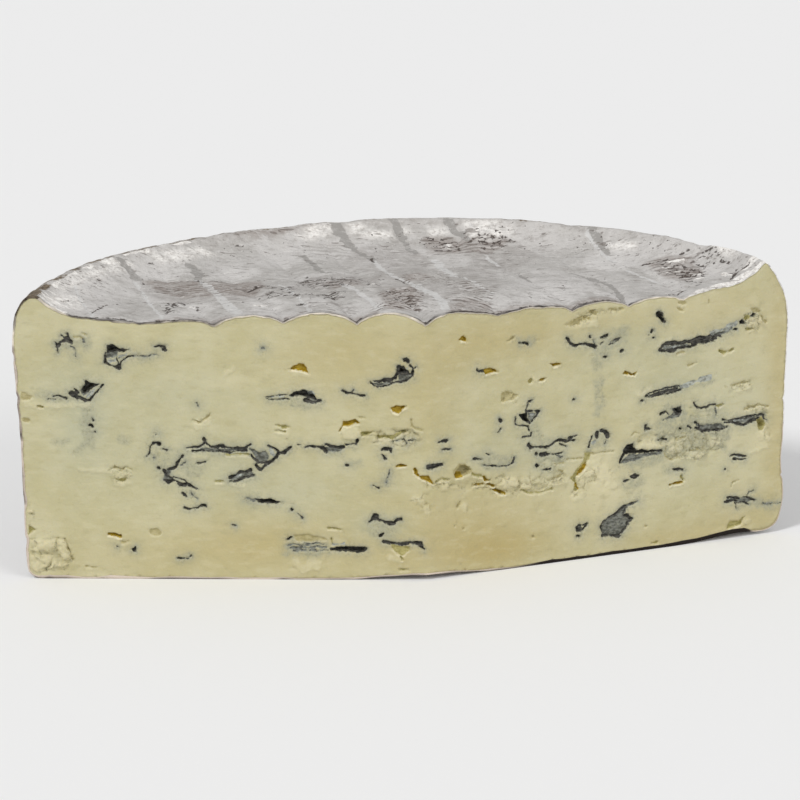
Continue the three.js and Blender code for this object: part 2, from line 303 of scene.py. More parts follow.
# Marks are (half width, [(u, z), ...]); half width 0 means a filled outline
# Veins and specks of blue-black mould
INK = [
    # left face, outer half, from the top down
    (0, [(-92.6, 61), (-91.8, 60.6), (-91, 61), (-90.8, 60.1), (-91.5, 59.7), (-92.3, 59.7)]),
    (0.12, [(-91.9, 60), (-91.7, 58.4)]),
    (0.24, [(-91.3, 60.7), (-90.4, 61.1), (-89.4, 61.4), (-88, 60.9)]),
    (0, [(-90.1, 61.2), (-89.7, 62.4), (-88.7, 62.5), (-88.3, 61.3)]),
    (0.1, [(-89.9, 61.9), (-90.5, 62.8)]),
    (0.12, [(-89, 62.3), (-89.2, 63.3)]),
    (0, [(-79.6, 60.2), (-77.8, 60.4), (-77, 59.7), (-75, 59.3), (-73.8, 59.2), (-75.2, 58.6), (-77, 58.5),
         (-79.8, 58.2)]),
    (0.2, [(-80, 58.4), (-80.1, 55.9), (-78.9, 55.2), (-77.4, 54.9)]),
    (0.42, [(-76.9, 54.7), (-76.5, 54.6)]),
    (0.2, [(-76.3, 54.9), (-75.6, 56.3), (-74.3, 57.3), (-73, 57.7)]),
    (0.18, [(-77, 57), (-76.5, 55)]),
    (0.22, [(-67.5, 59.9), (-66.4, 60), (-65.2, 59.7)]),
    (0, [(-66.2, 59.3), (-65, 59.7), (-64.5, 59.1), (-65.3, 58.6)]),
    (0, [(-85.1, 51.2), (-83.4, 50.6), (-81, 50.4), (-83, 49.4), (-84, 48.4), (-85.2, 47.6), (-86, 48.5),
         (-85.2, 49.6)]),
    (0.2, [(-80.6, 50.1), (-81.8, 48.7), (-83.2, 47.5), (-83.8, 46), (-85.1, 46.2), (-86.4, 47)]),
    (0.32, [(-88.6, 47.9), (-87.8, 47.5), (-87, 46.9)]),
    (0.18, [(-87.9, 49), (-86.8, 48.1)]),
    (0.22, [(-93, 47.1), (-91.6, 47.2), (-89.8, 46.7)]),
    (0.14, [(-94.4, 46.3), (-92.6, 46.3)]),
    (0.16, [(-83.3, 41.5), (-83, 41.2)]),
    (0.28, [(-83.9, 39.7), (-83.6, 39.3)]),
    (0.12, [(-82.9, 38.2), (-82.6, 38)]),
    (0.16, [(-69.8, 31.8), (-69.2, 32.6), (-69.1, 34.5), (-68.3, 35.3), (-67.4, 35.4), (-66.8, 34.8)]),
    (0.24, [(-65.8, 33.7), (-65, 33.5)]),
    (0.24, [(-67.1, 28.7), (-67, 28.5)]),
    (0.34, [(-61.1, 31.7), (-62.7, 29.9)]),
    (0.26, [(-62.8, 29.4), (-64.6, 28.5)]),
    (0.3, [(-65.9, 25.8), (-64.6, 25.4), (-63.6, 25.5)]),
    (0.26, [(-65.6, 27.9), (-65, 26.8), (-63.8, 26)]),
    (0, [(-63.5, 25.7), (-61.8, 24.9), (-60, 24.9), (-57.4, 23.8), (-57.2, 23.4), (-60, 24), (-62, 23.9)]),
    (0.14, [(-63.6, 26.5), (-61.4, 25.6), (-59.4, 24.6)]),
    (0.3, [(-61, 22.4), (-60.1, 21.4)]),
    (0.18, [(-60.6, 18.4), (-59.5, 18.2), (-57.5, 18.5), (-56.4, 19.2)]),
    (0.34, [(-56.4, 19.1), (-55.5, 19)]),
    (0, [(-74.5, 7.7), (-73.1, 8.5), (-72.9, 7)]),
    (0.12, [(-77.8, 8.3), (-77.6, 8.2)]),
    (0.14, [(-62.7, 5.5), (-61.5, 5.1), (-60.3, 5.3), (-59.4, 6)]),
    (0.24, [(-60, 33.8), (-58.3, 34.2), (-56.4, 34.5), (-55.4, 35.8)]),
    (0.34, [(-55.6, 36.1), (-55.4, 35.9)]),
    (0.2, [(-55.3, 35.7), (-54.8, 34.9), (-53.9, 34.3)]),
    (0.3, [(-53.9, 34.2), (-51.6, 34.5), (-49, 34.2), (-46.8, 33.8), (-45.2, 34.3)]),
    (0.16, [(-45.2, 34.3), (-44.1, 35.1)]),
    (0.2, [(-58.5, 33.3), (-56, 33.3), (-53.7, 33), (-52.2, 33.4), (-49, 33), (-45.2, 33.5)]),
    (0.16, [(-57.2, 30.1), (-55.4, 30.5)]),
    # left face, inner half
    (0.22, [(-44, 32.2), (-42.4, 30.6)]),
    (0.18, [(-42.3, 30.4), (-40.4, 30.5)]),
    (0.3, [(-40.4, 30.2), (-39.1, 30.9), (-37.6, 31.7), (-37.2, 32.6), (-35.6, 33.2), (-34, 34)]),
    (0.2, [(-39.7, 34.5), (-38.1, 34), (-37.2, 33.2)]),
    (0.24, [(-42.7, 29.8), (-41.6, 28.4), (-40.5, 29.8)]),
    (0.3, [(-49.3, 26.2), (-47.6, 26.9), (-46.8, 27.8), (-44.2, 28.2)]),
    (0.18, [(-49.5, 25.3), (-47.5, 25.5), (-45.6, 26.5), (-43.3, 26.9)]),
    (0, [(-43.3, 20.8), (-41.6, 20.7), (-39.4, 20.8), (-37, 20.3), (-36.4, 20.1), (-38, 19.7), (-40, 19.6),
         (-42.4, 19.8)]),
    (0.2, [(-34, 18.3), (-33.8, 18.1)]),
    (0.12, [(-32.5, 17), (-31.4, 16)]),
    (0.12, [(-48.6, 14.1), (-48.1, 14)]),
    (0, [(-35.4, 10.4), (-34.6, 11), (-33.7, 10.9), (-34.2, 10.3), (-35, 10.1)]),
    (0, [(-24.5, 8.2), (-20, 8.7), (-16.4, 8.7), (-15.2, 8.2), (-15.2, 7.6), (-16, 7.1), (-20, 7.1),
         (-24.4, 7.4)]),
    (0, [(-34.4, 47.8), (-32.8, 48.7), (-30.7, 49), (-28.8, 48.6), (-28.6, 47.6), (-26.9, 46.4),
         (-28, 46.2), (-29.8, 46.8), (-31.5, 47.4), (-33.6, 47.4)]),
    (0.1, [(-40, 47.2), (-37.8, 47.5), (-34.6, 47.8)]),
    (0.1, [(-40, 46.8), (-39.4, 46.4), (-38.4, 46.6), (-34.4, 46.7)]),
    (0.36, [(-30.4, 46.4), (-29.2, 45.7), (-27.5, 45.8), (-26.9, 46.2)]),
    (0.18, [(-21.3, 48.8), (-20, 48.2), (-19, 48.4), (-17.3, 47.8), (-15.6, 47.5)]),
    (0.12, [(-18.9, 48.5), (-18.4, 49.3)]),
    (0.36, [(-13, 51.3), (-11.1, 51.6), (-9, 51.3), (-8.2, 52), (-7.1, 53.7), (-6.9, 55)]),
    (0.18, [(-14, 50.8), (-13, 50.1), (-11.1, 49.9), (-9, 50.5), (-7.8, 51)]),
    (0, [(-7.4, 53), (-7.2, 55.2), (-5.8, 55.4), (-4.8, 54), (-4.2, 53), (-5.7, 52.8)]),
    (0, [(-6.3, 57.1), (-4.9, 57.5), (-4.3, 56.6), (-4.6, 55.4), (-5.4, 56)]),
    (0.2, [(-4.4, 55.3), (-3.6, 54.5), (-2.9, 54.9)]),
    (0.18, [(-3.8, 54.3), (-3.8, 52.4), (-5.7, 51.4), (-7.8, 51.1)]),
    (0.12, [(-57.6, 45.5), (-57.2, 44.7)]),
    (0.14, [(-32.2, 35), (-31.8, 35)]),
    (0.16, [(-30.6, 34.4), (-29.4, 34.6), (-27, 34.3), (-26, 34.2)]),
    (0.3, [(-26.2, 34), (-25.2, 33.2)]),
    (0.24, [(-25.2, 35), (-23.6, 34.6), (-21, 34.4)]),
    (0.2, [(-20.2, 35), (-17.8, 35.1), (-17.4, 36.2)]),
    (0.28, [(-11.4, 33.9), (-9, 33.9), (-8.9, 33.2)]),
    (0.16, [(-11.2, 32.2), (-10.6, 31.2)]),
    (0.2, [(-20.2, 29.9), (-19.9, 29.8)]),
    (0.14, [(-13.4, 24.4), (-12, 23.8)]),
    (0.28, [(-14.6, 15.1), (-13.4, 16), (-11.7, 15.7), (-9.4, 14.8), (-8.1, 14.7), (-7.6, 15.7),
            (-6.7, 15.5)]),
    (0.5, [(-12.6, 16.4), (-12.3, 16.5)]),
    (0.22, [(-11.8, 11.5), (-10.9, 11.9)]),
    (0.28, [(-10.8, 9.8), (-9.4, 9.7), (-6.6, 9.3), (-4.6, 9.7), (-1.9, 9.6), (-1.2, 8.5), (-0.5, 7.8)]),
    # right face, upper half, from the point outwards
    (0, [(13.4, 53.5), (14, 52.9), (16, 52.7), (16.2, 51.9), (14.6, 52.2), (13.4, 52.7)]),
    (0.24, [(25.5, 58.5), (26.6, 58.3), (28.1, 57.9)]),
    (0, [(28, 42.8), (28.2, 43.5), (29.6, 43.6), (29, 42.9)]),
    (0.12, [(28.3, 42.6), (27.8, 41)]),
    (0.22, [(41.3, 42.4), (41.5, 42.3)]),
    (0, [(25.6, 40.1), (28, 40.2), (28.4, 38.6), (29, 37.6), (28.6, 37.2), (27, 38.4)]),
    (0.16, [(28, 40.6), (31.4, 40.3), (30.8, 39), (28.8, 37.3)]),
    (0.36, [(20.1, 39.2), (20.3, 39.1)]),
    (0.14, [(24.8, 39.4), (24.8, 37.8), (26.8, 37), (28.2, 36.6), (28.8, 35.6)]),
    (0.2, [(29.4, 34.9), (29, 33.9), (27, 34.2)]),
    (0.14, [(19.6, 36), (20.8, 37)]),
    (0.22, [(3.6, 35.4), (6, 35.6)]),
    (0.24, [(4.6, 33.2), (6.6, 33.2)]),
    (0.26, [(38.9, 58.6), (39.4, 58), (40, 57), (41.7, 56.4), (44.6, 56.3), (46.3, 56), (47.1, 55.5)]),
    (0.3, [(45.4, 58.2), (45.5, 58)]),
    (0.22, [(48.4, 56.1), (49.2, 56.5)]),
    (0.26, [(48.6, 57.6), (50.6, 58)]),
    (0.16, [(50.8, 55.6), (52.1, 56.4), (54.2, 57), (53.6, 56.3), (52.3, 55.7), (50.8, 55.6)]),
    (0.28, [(54.8, 53.8), (55.1, 53.8)]),
    (0.24, [(50, 52.5), (50.2, 52.5)]),
    (0, [(64.8, 62.5), (65.4, 62.9), (66.2, 62.3), (66.9, 60.8), (67.9, 60), (67.5, 59.4), (66.3, 60),
         (65.4, 61.2), (64.8, 61.5)]),
    (0.32, [(63.6, 58), (63.4, 57.6)]),
    (0.2, [(62.7, 57), (62.8, 56.9)]),
    (0.24, [(64, 56.2), (64.2, 56.1)]),
    (0.34, [(66, 52.8), (66.9, 53.5), (67.9, 54), (70.4, 54), (72.5, 53.8), (75, 54.1), (77.9, 54.9),
            (80, 54.7), (80.8, 55.1), (82.5, 54.8), (84, 54.5)]),
    (0.3, [(65.9, 52.6), (67.5, 52.3), (70, 52.3), (72.5, 52.6), (75.8, 52.9), (77.5, 53.5), (79.6, 53.5),
           (82.5, 54.3)]),
    (0.3, [(75.6, 53.6), (78, 54.3), (80.4, 54.2)]),
    (0, [(87.2, 55.6), (88, 56.1), (88.9, 56), (88.6, 55.4)]),
    (0, [(89.1, 57.8), (90.2, 58.3), (91.3, 57.6), (91.4, 57), (90.2, 57), (89.4, 57.2)]),
    (0, [(92.2, 59.2), (93, 59.7), (94, 59.4), (93.4, 58.6), (92.4, 58.7)]),
    (0.14, [(62, 41.2), (63, 41.7), (66, 42), (69.6, 42.7), (71.8, 42.6), (72.8, 41.8)]),
    (0.24, [(63.6, 40.9), (67, 41.4), (71.4, 42)]),
    (0.18, [(72.6, 41.7), (71, 41.4), (68, 40.8), (65, 40.8), (63.2, 40.3), (62, 41)]),
    (0.26, [(60.9, 39.9), (61.2, 39.9)]),
    (0.2, [(66.4, 35.9), (68, 36.1), (69, 35.2)]),
    (0, [(70.2, 37.1), (71.2, 36.8), (72.4, 37.1), (72.6, 35.6), (72, 34.8), (70.6, 35.2)]),
    (0.24, [(76.4, 37.7), (77.2, 36.4), (80, 36), (81, 36.6), (82.4, 36.6)]),
    # right face, middle
    (0, [(61.6, 33.4), (62.4, 33.6), (62.6, 32.6), (63.9, 32.2), (63.4, 31.8), (62.2, 32), (61.7, 31.7)]),
    (0.24, [(72.4, 31.3), (72.5, 31.1)]),
    (0.16, [(74.6, 31.9), (75.6, 31)]),
    (0.24, [(76.6, 32.5), (78, 32), (78, 30.6)]),
    (0.24, [(77, 31), (79, 29.7), (82, 29.8), (84, 29.6), (86, 30)]),
    (0.24, [(85, 32.1), (88, 31.8), (92, 32.2), (96, 32.5), (97.4, 32)]),
    (0.28, [(85.4, 31.4), (88.4, 31.2), (90.4, 30.3), (93, 30.6), (95.6, 31.6)]),
    (0.16, [(98.2, 30.7), (97, 32)]),
    (0, [(55.8, 27), (56.4, 28.6), (57.3, 28.9), (58.6, 29), (59, 28), (59.8, 27), (61, 26.9),
         (62.4, 26.6), (64.5, 26.3), (67, 26.3), (67.4, 25.6), (63, 25.8), (60, 26), (57.4, 26.2),
         (56.3, 26)]),
    (0.2, [(54.7, 24), (55.6, 25.4), (56.2, 26.6)]),
    (0.14, [(66, 28.9), (68.2, 28.7)]),
    (0, [(58, 20.4), (59.6, 20.8), (60.5, 20.2), (60.2, 19.4), (59, 19.2), (58.2, 19.8)]),
    (0.22, [(56.1, 19), (57.4, 19.2)]),
    (0, [(70, 20.6), (72, 20.8), (73.6, 20.3), (73.6, 19.8), (71, 20)]),
    (0.22, [(87.4, 22.2), (88.4, 22.3), (92, 21.8)]),
    (0.2, [(88, 21.3), (90, 21), (92, 20.9)]),
    (0.12, [(85.7, 19), (85.9, 18.9)]),
    (0.28, [(45.6, 29.4), (45.8, 30.6), (46.7, 31.7)]),
    (0.32, [(48.3, 33), (48.3, 31.9)]),
    (0.36, [(49.3, 33.1), (50.3, 32.8), (51.1, 31.6)]),
    (0.2, [(37.1, 32), (38.5, 31.9), (39.6, 31.6), (41.7, 31.5)]),
    (0.24, [(40.1, 32.2), (41.4, 32.5), (42.4, 32.6)]),
    (0.14, [(30, 31), (33.5, 30.5), (35.5, 31.2), (37, 32)]),
    (0.14, [(37.6, 31), (39.4, 30.2)]),
    (0.36, [(30.9, 29.3), (31.1, 29.1)]),
    (0.3, [(32.2, 29.1), (33.2, 28.9)]),
    (0.2, [(34, 28.8), (36, 28.4), (38, 28.6)]),
    (0.3, [(30.7, 26), (31, 25.8)]),
    (0.14, [(32.6, 24.7), (35, 24.9)]),
    (0.3, [(28.4, 32), (29.6, 30.9)]),
    (0.24, [(13.4, 29.8), (15.4, 29.6)]),
    (0.22, [(16.6, 31), (17.6, 30.5)]),
    (0.14, [(15.8, 27.9), (18, 27.6), (20, 27.1), (22.4, 26.9), (24.2, 27.6), (24.4, 29)]),
    (0, [(0.1, 29.6), (1, 30), (4.6, 29.8), (4.5, 29), (2, 28.6), (0.8, 28.3), (0, 28.8)]),
    # right face, low
    (0.3, [(56.6, 10), (57.4, 9.4), (58.4, 8.7), (57.4, 8.4), (57.3, 6.9), (56, 5.8), (55.3, 4.7)]),
    (0.28, [(55.2, 4.6), (54.2, 4.7), (51.7, 5), (50.2, 5.2)]),
    (0.16, [(50, 5.2), (49.8, 6.5), (49.5, 8), (50.1, 9), (51.7, 9.7), (53.5, 10.3)]),
    (0.2, [(53.5, 10.3), (54.6, 11.3), (56, 12.4), (57.4, 12.9), (58.6, 13)]),
    (0.18, [(56.6, 11.6), (56.2, 10.4)]),
    (0.2, [(42.4, 8.5), (43.2, 8.9), (45.3, 9), (44.5, 8.2), (44.2, 7.6), (42.9, 7.7), (42.4, 8.5)]),
    (0.22, [(42.9, 6.1), (43.1, 6)]),
    (0.18, [(86.2, 10), (90, 9.9)]),
    (0.18, [(87, 11.2), (90, 10.6), (93, 10.2), (95.3, 9.4)]),
    (0.14, [(89, 9.4), (91, 9.4), (93.6, 8.4)]),
    (0.12, [(89.6, 9.2), (89.8, 7.8)]),
    (0.12, [(93, 10.8), (93.6, 12), (95, 12.1)]),
]
# Greyer furry mould around and between the veins
MOULD = [
    (0.16, [(-34.6, 8.7), (-33, 9.1), (-31.4, 8.7), (-29.4, 9.1)]),
    (0.2, [(-34, 8), (-31.8, 8.4), (-29.6, 8), (-27.4, 8.6), (-25.4, 8.4)]),
    (0.12, [(-31, 9.5), (-29, 9.2), (-27.6, 9.5), (-26, 9.1)]),
    (0.14, [(-33.6, 7.4), (-32, 7.8), (-30, 7.4), (-27.6, 7.8)]),
    (0, [(-58, 33.7), (-53.8, 34), (-45.4, 34.2), (-45.4, 33.6), (-50, 33.2), (-54, 33.2)]),
    (0, [(-79.8, 58.6), (-76.8, 58.6), (-76.8, 57.2), (-80, 57)]),
    (0.12, [(-76.8, 56.9), (-75.4, 56.9)]),
    (0.12, [(-73, 57.7), (-70, 57.6), (-67.2, 57.9)]),
    (0.12, [(-88.4, 60), (-87.6, 59.6), (-87.3, 58.4), (-87.2, 57.4)]),
    (0.26, [(-85.3, 61.6), (-85.1, 61)]),
    (0, [(-85, 51), (-83, 50.4), (-81.4, 50.2), (-83.4, 49.2), (-84.4, 47.9), (-85.4, 47.4), (-86.3, 48.5),
         (-85.4, 49.4)]),
    (0.2, [(-67.7, 37.7), (-67.6, 37.5)]),
    (0.16, [(-68.2, 31.6), (-68, 31.6)]),
    (0, [(-65.9, 27.8), (-64.9, 28.5), (-64.1, 28.4), (-64, 26.5), (-63.5, 25.5), (-64.5, 25.1),
         (-65.9, 25.9), (-65.6, 26.8)]),
    (0.2, [(-61.6, 29.6), (-60.2, 30.4)]),
    (0.14, [(-59, 22.4), (-58.6, 21.6), (-57.4, 21)]),
    (0, [(-45, 34.3), (-43, 33.6), (-42, 33), (-40.5, 33.4), (-39.8, 32.2), (-40.2, 30.6), (-41.4, 30.1),
         (-42.3, 30.4), (-43, 31.8), (-43.6, 33)]),
    (0, [(-49.4, 25.6), (-49.1, 26.6), (-46.8, 27.8), (-44.1, 28.2), (-43.3, 27), (-45.6, 26.6),
         (-47.5, 25.5)]),
    (0.3, [(-45.3, 21.1), (-43.4, 20.4)]),
    (0.12, [(-40.9, 59.6), (-40.6, 59.5)]),
    (0, [(-30, 46.6), (-27.2, 46.4), (-27.4, 45.5), (-29.2, 45.4)]),
    (0, [(-13.8, 50.8), (-9, 51.2), (-8, 51), (-12, 50)]),
    (0, [(-7.4, 53), (-4, 53.6), (-3.9, 52.4), (-5.7, 51.4), (-7.2, 51.4)]),
    (0, [(-25.4, 34.4), (-21, 34.2), (-22, 33.4), (-25, 33.3)]),
    (0, [(28.2, 40.2), (31, 40), (30.4, 39), (28.9, 37.7)]),
    (0, [(66.4, 52.8), (67.6, 53.6), (72.6, 53.4), (76, 53.6), (73.5, 52.9), (69, 52.6)]),
    (0, [(76, 53.4), (77.6, 54.8), (83.6, 54.6), (82.3, 54.3), (78, 53.7)]),
    (0, [(79, 54.6), (81, 55.6), (84, 55.8), (87.4, 57), (87, 55.8), (83.4, 54.4)]),
    (0, [(51, 55.7), (52.2, 56.3), (54, 56.9), (52.3, 55.8)]),
    (0.14, [(46.2, 57.4), (46.7, 56.3)]),
    (0, [(62.2, 41.1), (66, 41.8), (69.6, 42.4), (72.4, 41.9), (68, 41), (63.4, 40.5)]),
    (0, [(69.4, 37.2), (71.2, 36.9), (72.4, 37.2), (72.6, 35.6), (72, 34.6), (70, 34.2), (67, 33.9),
         (69, 34.9), (70.4, 36)]),
    (0.18, [(82.8, 35.8), (82.8, 33.6)]),
    (0, [(76.6, 32.6), (79, 31.6), (84, 31.4), (86.2, 30.2), (82, 29.6), (78, 29.6)]),
    (0, [(85.2, 32), (92, 32), (96.4, 32.3), (93, 30.8), (90, 30.6), (87.5, 31.4)]),
    (0.1, [(-29.6, 7.4), (-25, 7.7)]),
    (0, [(54.6, 23.8), (56, 24.9), (57.4, 26.1), (61, 25.9), (67.4, 25.6), (67, 25), (62.4, 24.9),
         (58.9, 24.1)]),
    (0, [(49.5, 8.2), (51.7, 9.7), (53.5, 10.3), (54.6, 11.3), (56, 12.4), (59.9, 13.3), (57, 11.9),
         (56.6, 10), (58.3, 8.8), (57.3, 6.9), (55.3, 4.6), (50.1, 5.1)]),
    (0.2, [(58.6, 13), (59.8, 13.4)]),
    (0, [(42.5, 8.5), (44, 8.8), (44.3, 7.7), (42.9, 7.7)]),
    (0, [(86.6, 10.8), (90, 10.4), (95, 9.6), (93, 8.8), (89, 9.6), (86.4, 10)]),
    (0.14, [(97.5, 8.3), (100.4, 7.6), (102.6, 7.9)]),
    (0.16, [(50.8, 30.6), (50.4, 29.9)]),
    (0.14, [(36.4, 28.2), (38, 27.4)]),
    (0.1, [(-8.5, 35.8), (-6, 36.5)]),
    (0.1, [(-6, 36.4), (-5.4, 35.2)]),
    (0.1, [(-5, 36), (-3.2, 36.2)]),
    (0.1, [(-9.4, 28.6), (-9.9, 27), (-10.2, 25)]),
]
# Pale blue-white cells inside the mould
BLOOM = [
    (0.5, [(81, 55.7), (85, 56.5), (88, 57.3)]),
    (0.5, [(72.8, 42.6), (77, 43.3), (80.6, 44.1)]),
    (0, [(-79.5, 56.7), (-77.3, 56.8), (-77.2, 56.1), (-79.3, 55.9)]),
    (0, [(-76.8, 57.2), (-76, 57.9), (-74.4, 58.3), (-73.7, 58.8), (-74.6, 57.8), (-76, 57.1)]),
    (0, [(-83.5, 48.7), (-82.2, 49.6), (-82.8, 48.3), (-83.9, 46.9), (-84.9, 46.8), (-84.3, 47.8)]),
    (0.1, [(-57.6, 33.8), (-55, 33.8)]),
    (0.14, [(-48, 26.4), (-46.2, 27.2)]),
    (0.3, [(-39.4, 33.6), (-38.4, 32.4)]),
    (0.1, [(-38.6, 47.2), (-35.6, 47.2)]),
    (0.16, [(-5.1, 54.9), (-5, 54.8)]),
    (0.4, [(-29.4, 48), (-28.9, 48.1)]),
    (0.24, [(-23.6, 9.2), (-20.8, 9.3)]),
    (0.3, [(29.2, 39.6), (30, 39.8)]),
    (0.3, [(46.6, 30.4), (47.2, 31)]),
    (0.12, [(67.8, 53.1), (72, 53.1)]),
    (0.14, [(88.4, 21.8), (90.8, 21.5)]),
    (0.12, [(88.4, 31.6), (91, 31.4)]),
    (0.14, [(98.6, 8.1), (101, 7.9)]),
]
# Faint blue-grey haze in the paste
HAZE = [
    (2.2, [(67.6, 31.4), (74, 31.4), (84, 29.4)]),
    (1.6, [(70, 26), (77, 25.6), (84, 26.4)]),
    (0.8, [(-36, 45.6), (-31, 45.4)]),
    (1.2, [(-34, 7.6), (-27, 7.8)]),
    (1.2, [(-84.8, 43.5), (-84.6, 39), (-84.2, 35.8)]),
    (0.7, [(-87.8, 33.3), (-85.2, 35.2)]),
    (0.6, [(-93, 35.3), (-90, 35.8)]),
    (0.6, [(-76.5, 36.1), (-74.5, 35.4)]),
    (0.7, [(-97, 47.7), (-93, 47.3), (-88, 47.5)]),
    (1, [(-92, 60.4), (-88, 61), (-85, 61)]),
    (1.2, [(-66, 30.5), (-63, 31.5), (-58, 28)]),
    (0.6, [(-45.4, 20.8), (-43.6, 20)]),
    (0, [(-33.7, 9), (-30, 9.2), (-26, 9.2), (-24.6, 8.4), (-24.8, 7.2), (-28, 6.8), (-33, 7.2)]),
    (0.5, [(-33.4, 8), (-28, 8), (-25, 7.8)]),
    (1.4, [(-13.4, 13.2), (-11.5, 13), (-9, 12.6)]),
    (0.6, [(-19.6, 30), (-17, 30.3)]),
    (1.3, [(49, 54), (52, 56), (54.6, 58.4)]),
    (0.7, [(47.6, 53.2), (47.7, 49.8)]),
    (1, [(48.6, 46), (48.2, 42), (48.5, 38.6)]),
    (0.9, [(26, 59), (29, 58.6)]),
    (0.9, [(84.6, 55), (86, 55.6), (87.4, 56.4)]),
    (0.6, [(74, 42.3), (79, 42.4), (81.4, 43)]),
    (1.1, [(81.6, 35.8), (81.3, 33.4)]),
    (1.2, [(77.2, 32), (81, 32), (85, 32)]),
    (0, [(31, 25.9), (35, 25.8), (35.2, 25.2), (31.6, 25.1)]),
    (0.9, [(31.2, 28.6), (34.4, 27.9), (37, 26.8)]),
    (0.9, [(87, 10.6), (91, 10.2), (96, 9)]),
    (0, [(13, 30.6), (18, 31), (24, 29), (24, 26.6), (17, 26.6)]),
    (0, [(25, 39), (29, 36), (31, 31.4), (36, 31.4), (38, 33), (33, 33), (31, 37)]),
    (0.7, [(68, 20.7), (70.4, 20.5)]),
    (0.9, [(57, 17.7), (61, 17.6)]),
    (1.2, [(68, 36), (72, 35)]),
    (0.8, [(46, 29), (50, 31)]),
    (0.8, [(58.6, 23.2), (64, 23.4), (66, 24.2)]),
    (0.6, [(98, 8), (102.6, 7.8)]),
]
# Deep holes with a wet, yellow-brown wall
AMBER = [
    (0, [(-34.6, 54.4), (-33.4, 55.1), (-31.9, 55.8), (-30.7, 55.7), (-30.1, 54.9), (-29.8, 53.6),
         (-31.1, 53.9), (-32.3, 53.9), (-33.6, 54.2)]),
    (0, [(-9.3, 44.6), (-8.2, 45.1), (-5.2, 45), (-6.6, 44.2), (-7.2, 43.2), (-8.6, 43.6)]),
    (0, [(-21, 40.9), (-19.6, 41), (-18, 41.6), (-16.8, 40.8), (-20, 39.8), (-21.2, 39.9)]),
    (0.12, [(-21, 40), (-21.8, 38.6)]),
    (0.22, [(-79.9, 11.5), (-78.3, 11.4), (-76.8, 11.1)]),
    (0.22, [(-7.6, 29.5), (-5.4, 29.7)]),
    (0.18, [(-3.4, 28.6), (-2.2, 27)]),
    (0, [(-2.2, 26.9), (0.6, 26.8), (1.4, 25.7), (2, 24.6), (0.6, 25.2), (-1.4, 26)]),
    (0, [(9, 60.8), (9.9, 62.1), (11, 60.4)]),
    (0, [(15.6, 52.8), (17.1, 53), (18.8, 52.6), (20, 51.8), (18.3, 51.8), (16.2, 51.5), (15.6, 52.2)]),
    (0, [(34.5, 52.3), (36.5, 52.4), (37.5, 51.9), (35.4, 51.6)]),
    (0, [(31, 48.4), (32.2, 49), (33.4, 48.8), (32.4, 48.2)]),
    (0, [(55.2, 47.6), (56, 48.3), (58.4, 47.2), (59.4, 48), (58.6, 46.7)]),
    (0, [(7.7, 26.4), (10.4, 26.6), (10, 25.6), (7.8, 25.4)]),
    (0.14, [(12.8, 23), (16, 23.1)]),
    (0.2, [(17.2, 22.8), (19, 22.3)]),
    (0.18, [(19.2, 21.4), (20.6, 20.5), (22, 19.9)]),
    (0, [(15.4, 25.2), (16.6, 24.8), (18, 23.8), (16.4, 23.8)]),
    (0, [(45.2, 25.6), (45.2, 24.4), (44, 23), (43, 22.2), (42.2, 22), (43.4, 23.6)]),
    (0.2, [(42.3, 20.2), (42.7, 18.8)]),
    (0.22, [(69.6, 16.5), (71.2, 16.9), (73, 16.8)]),
]
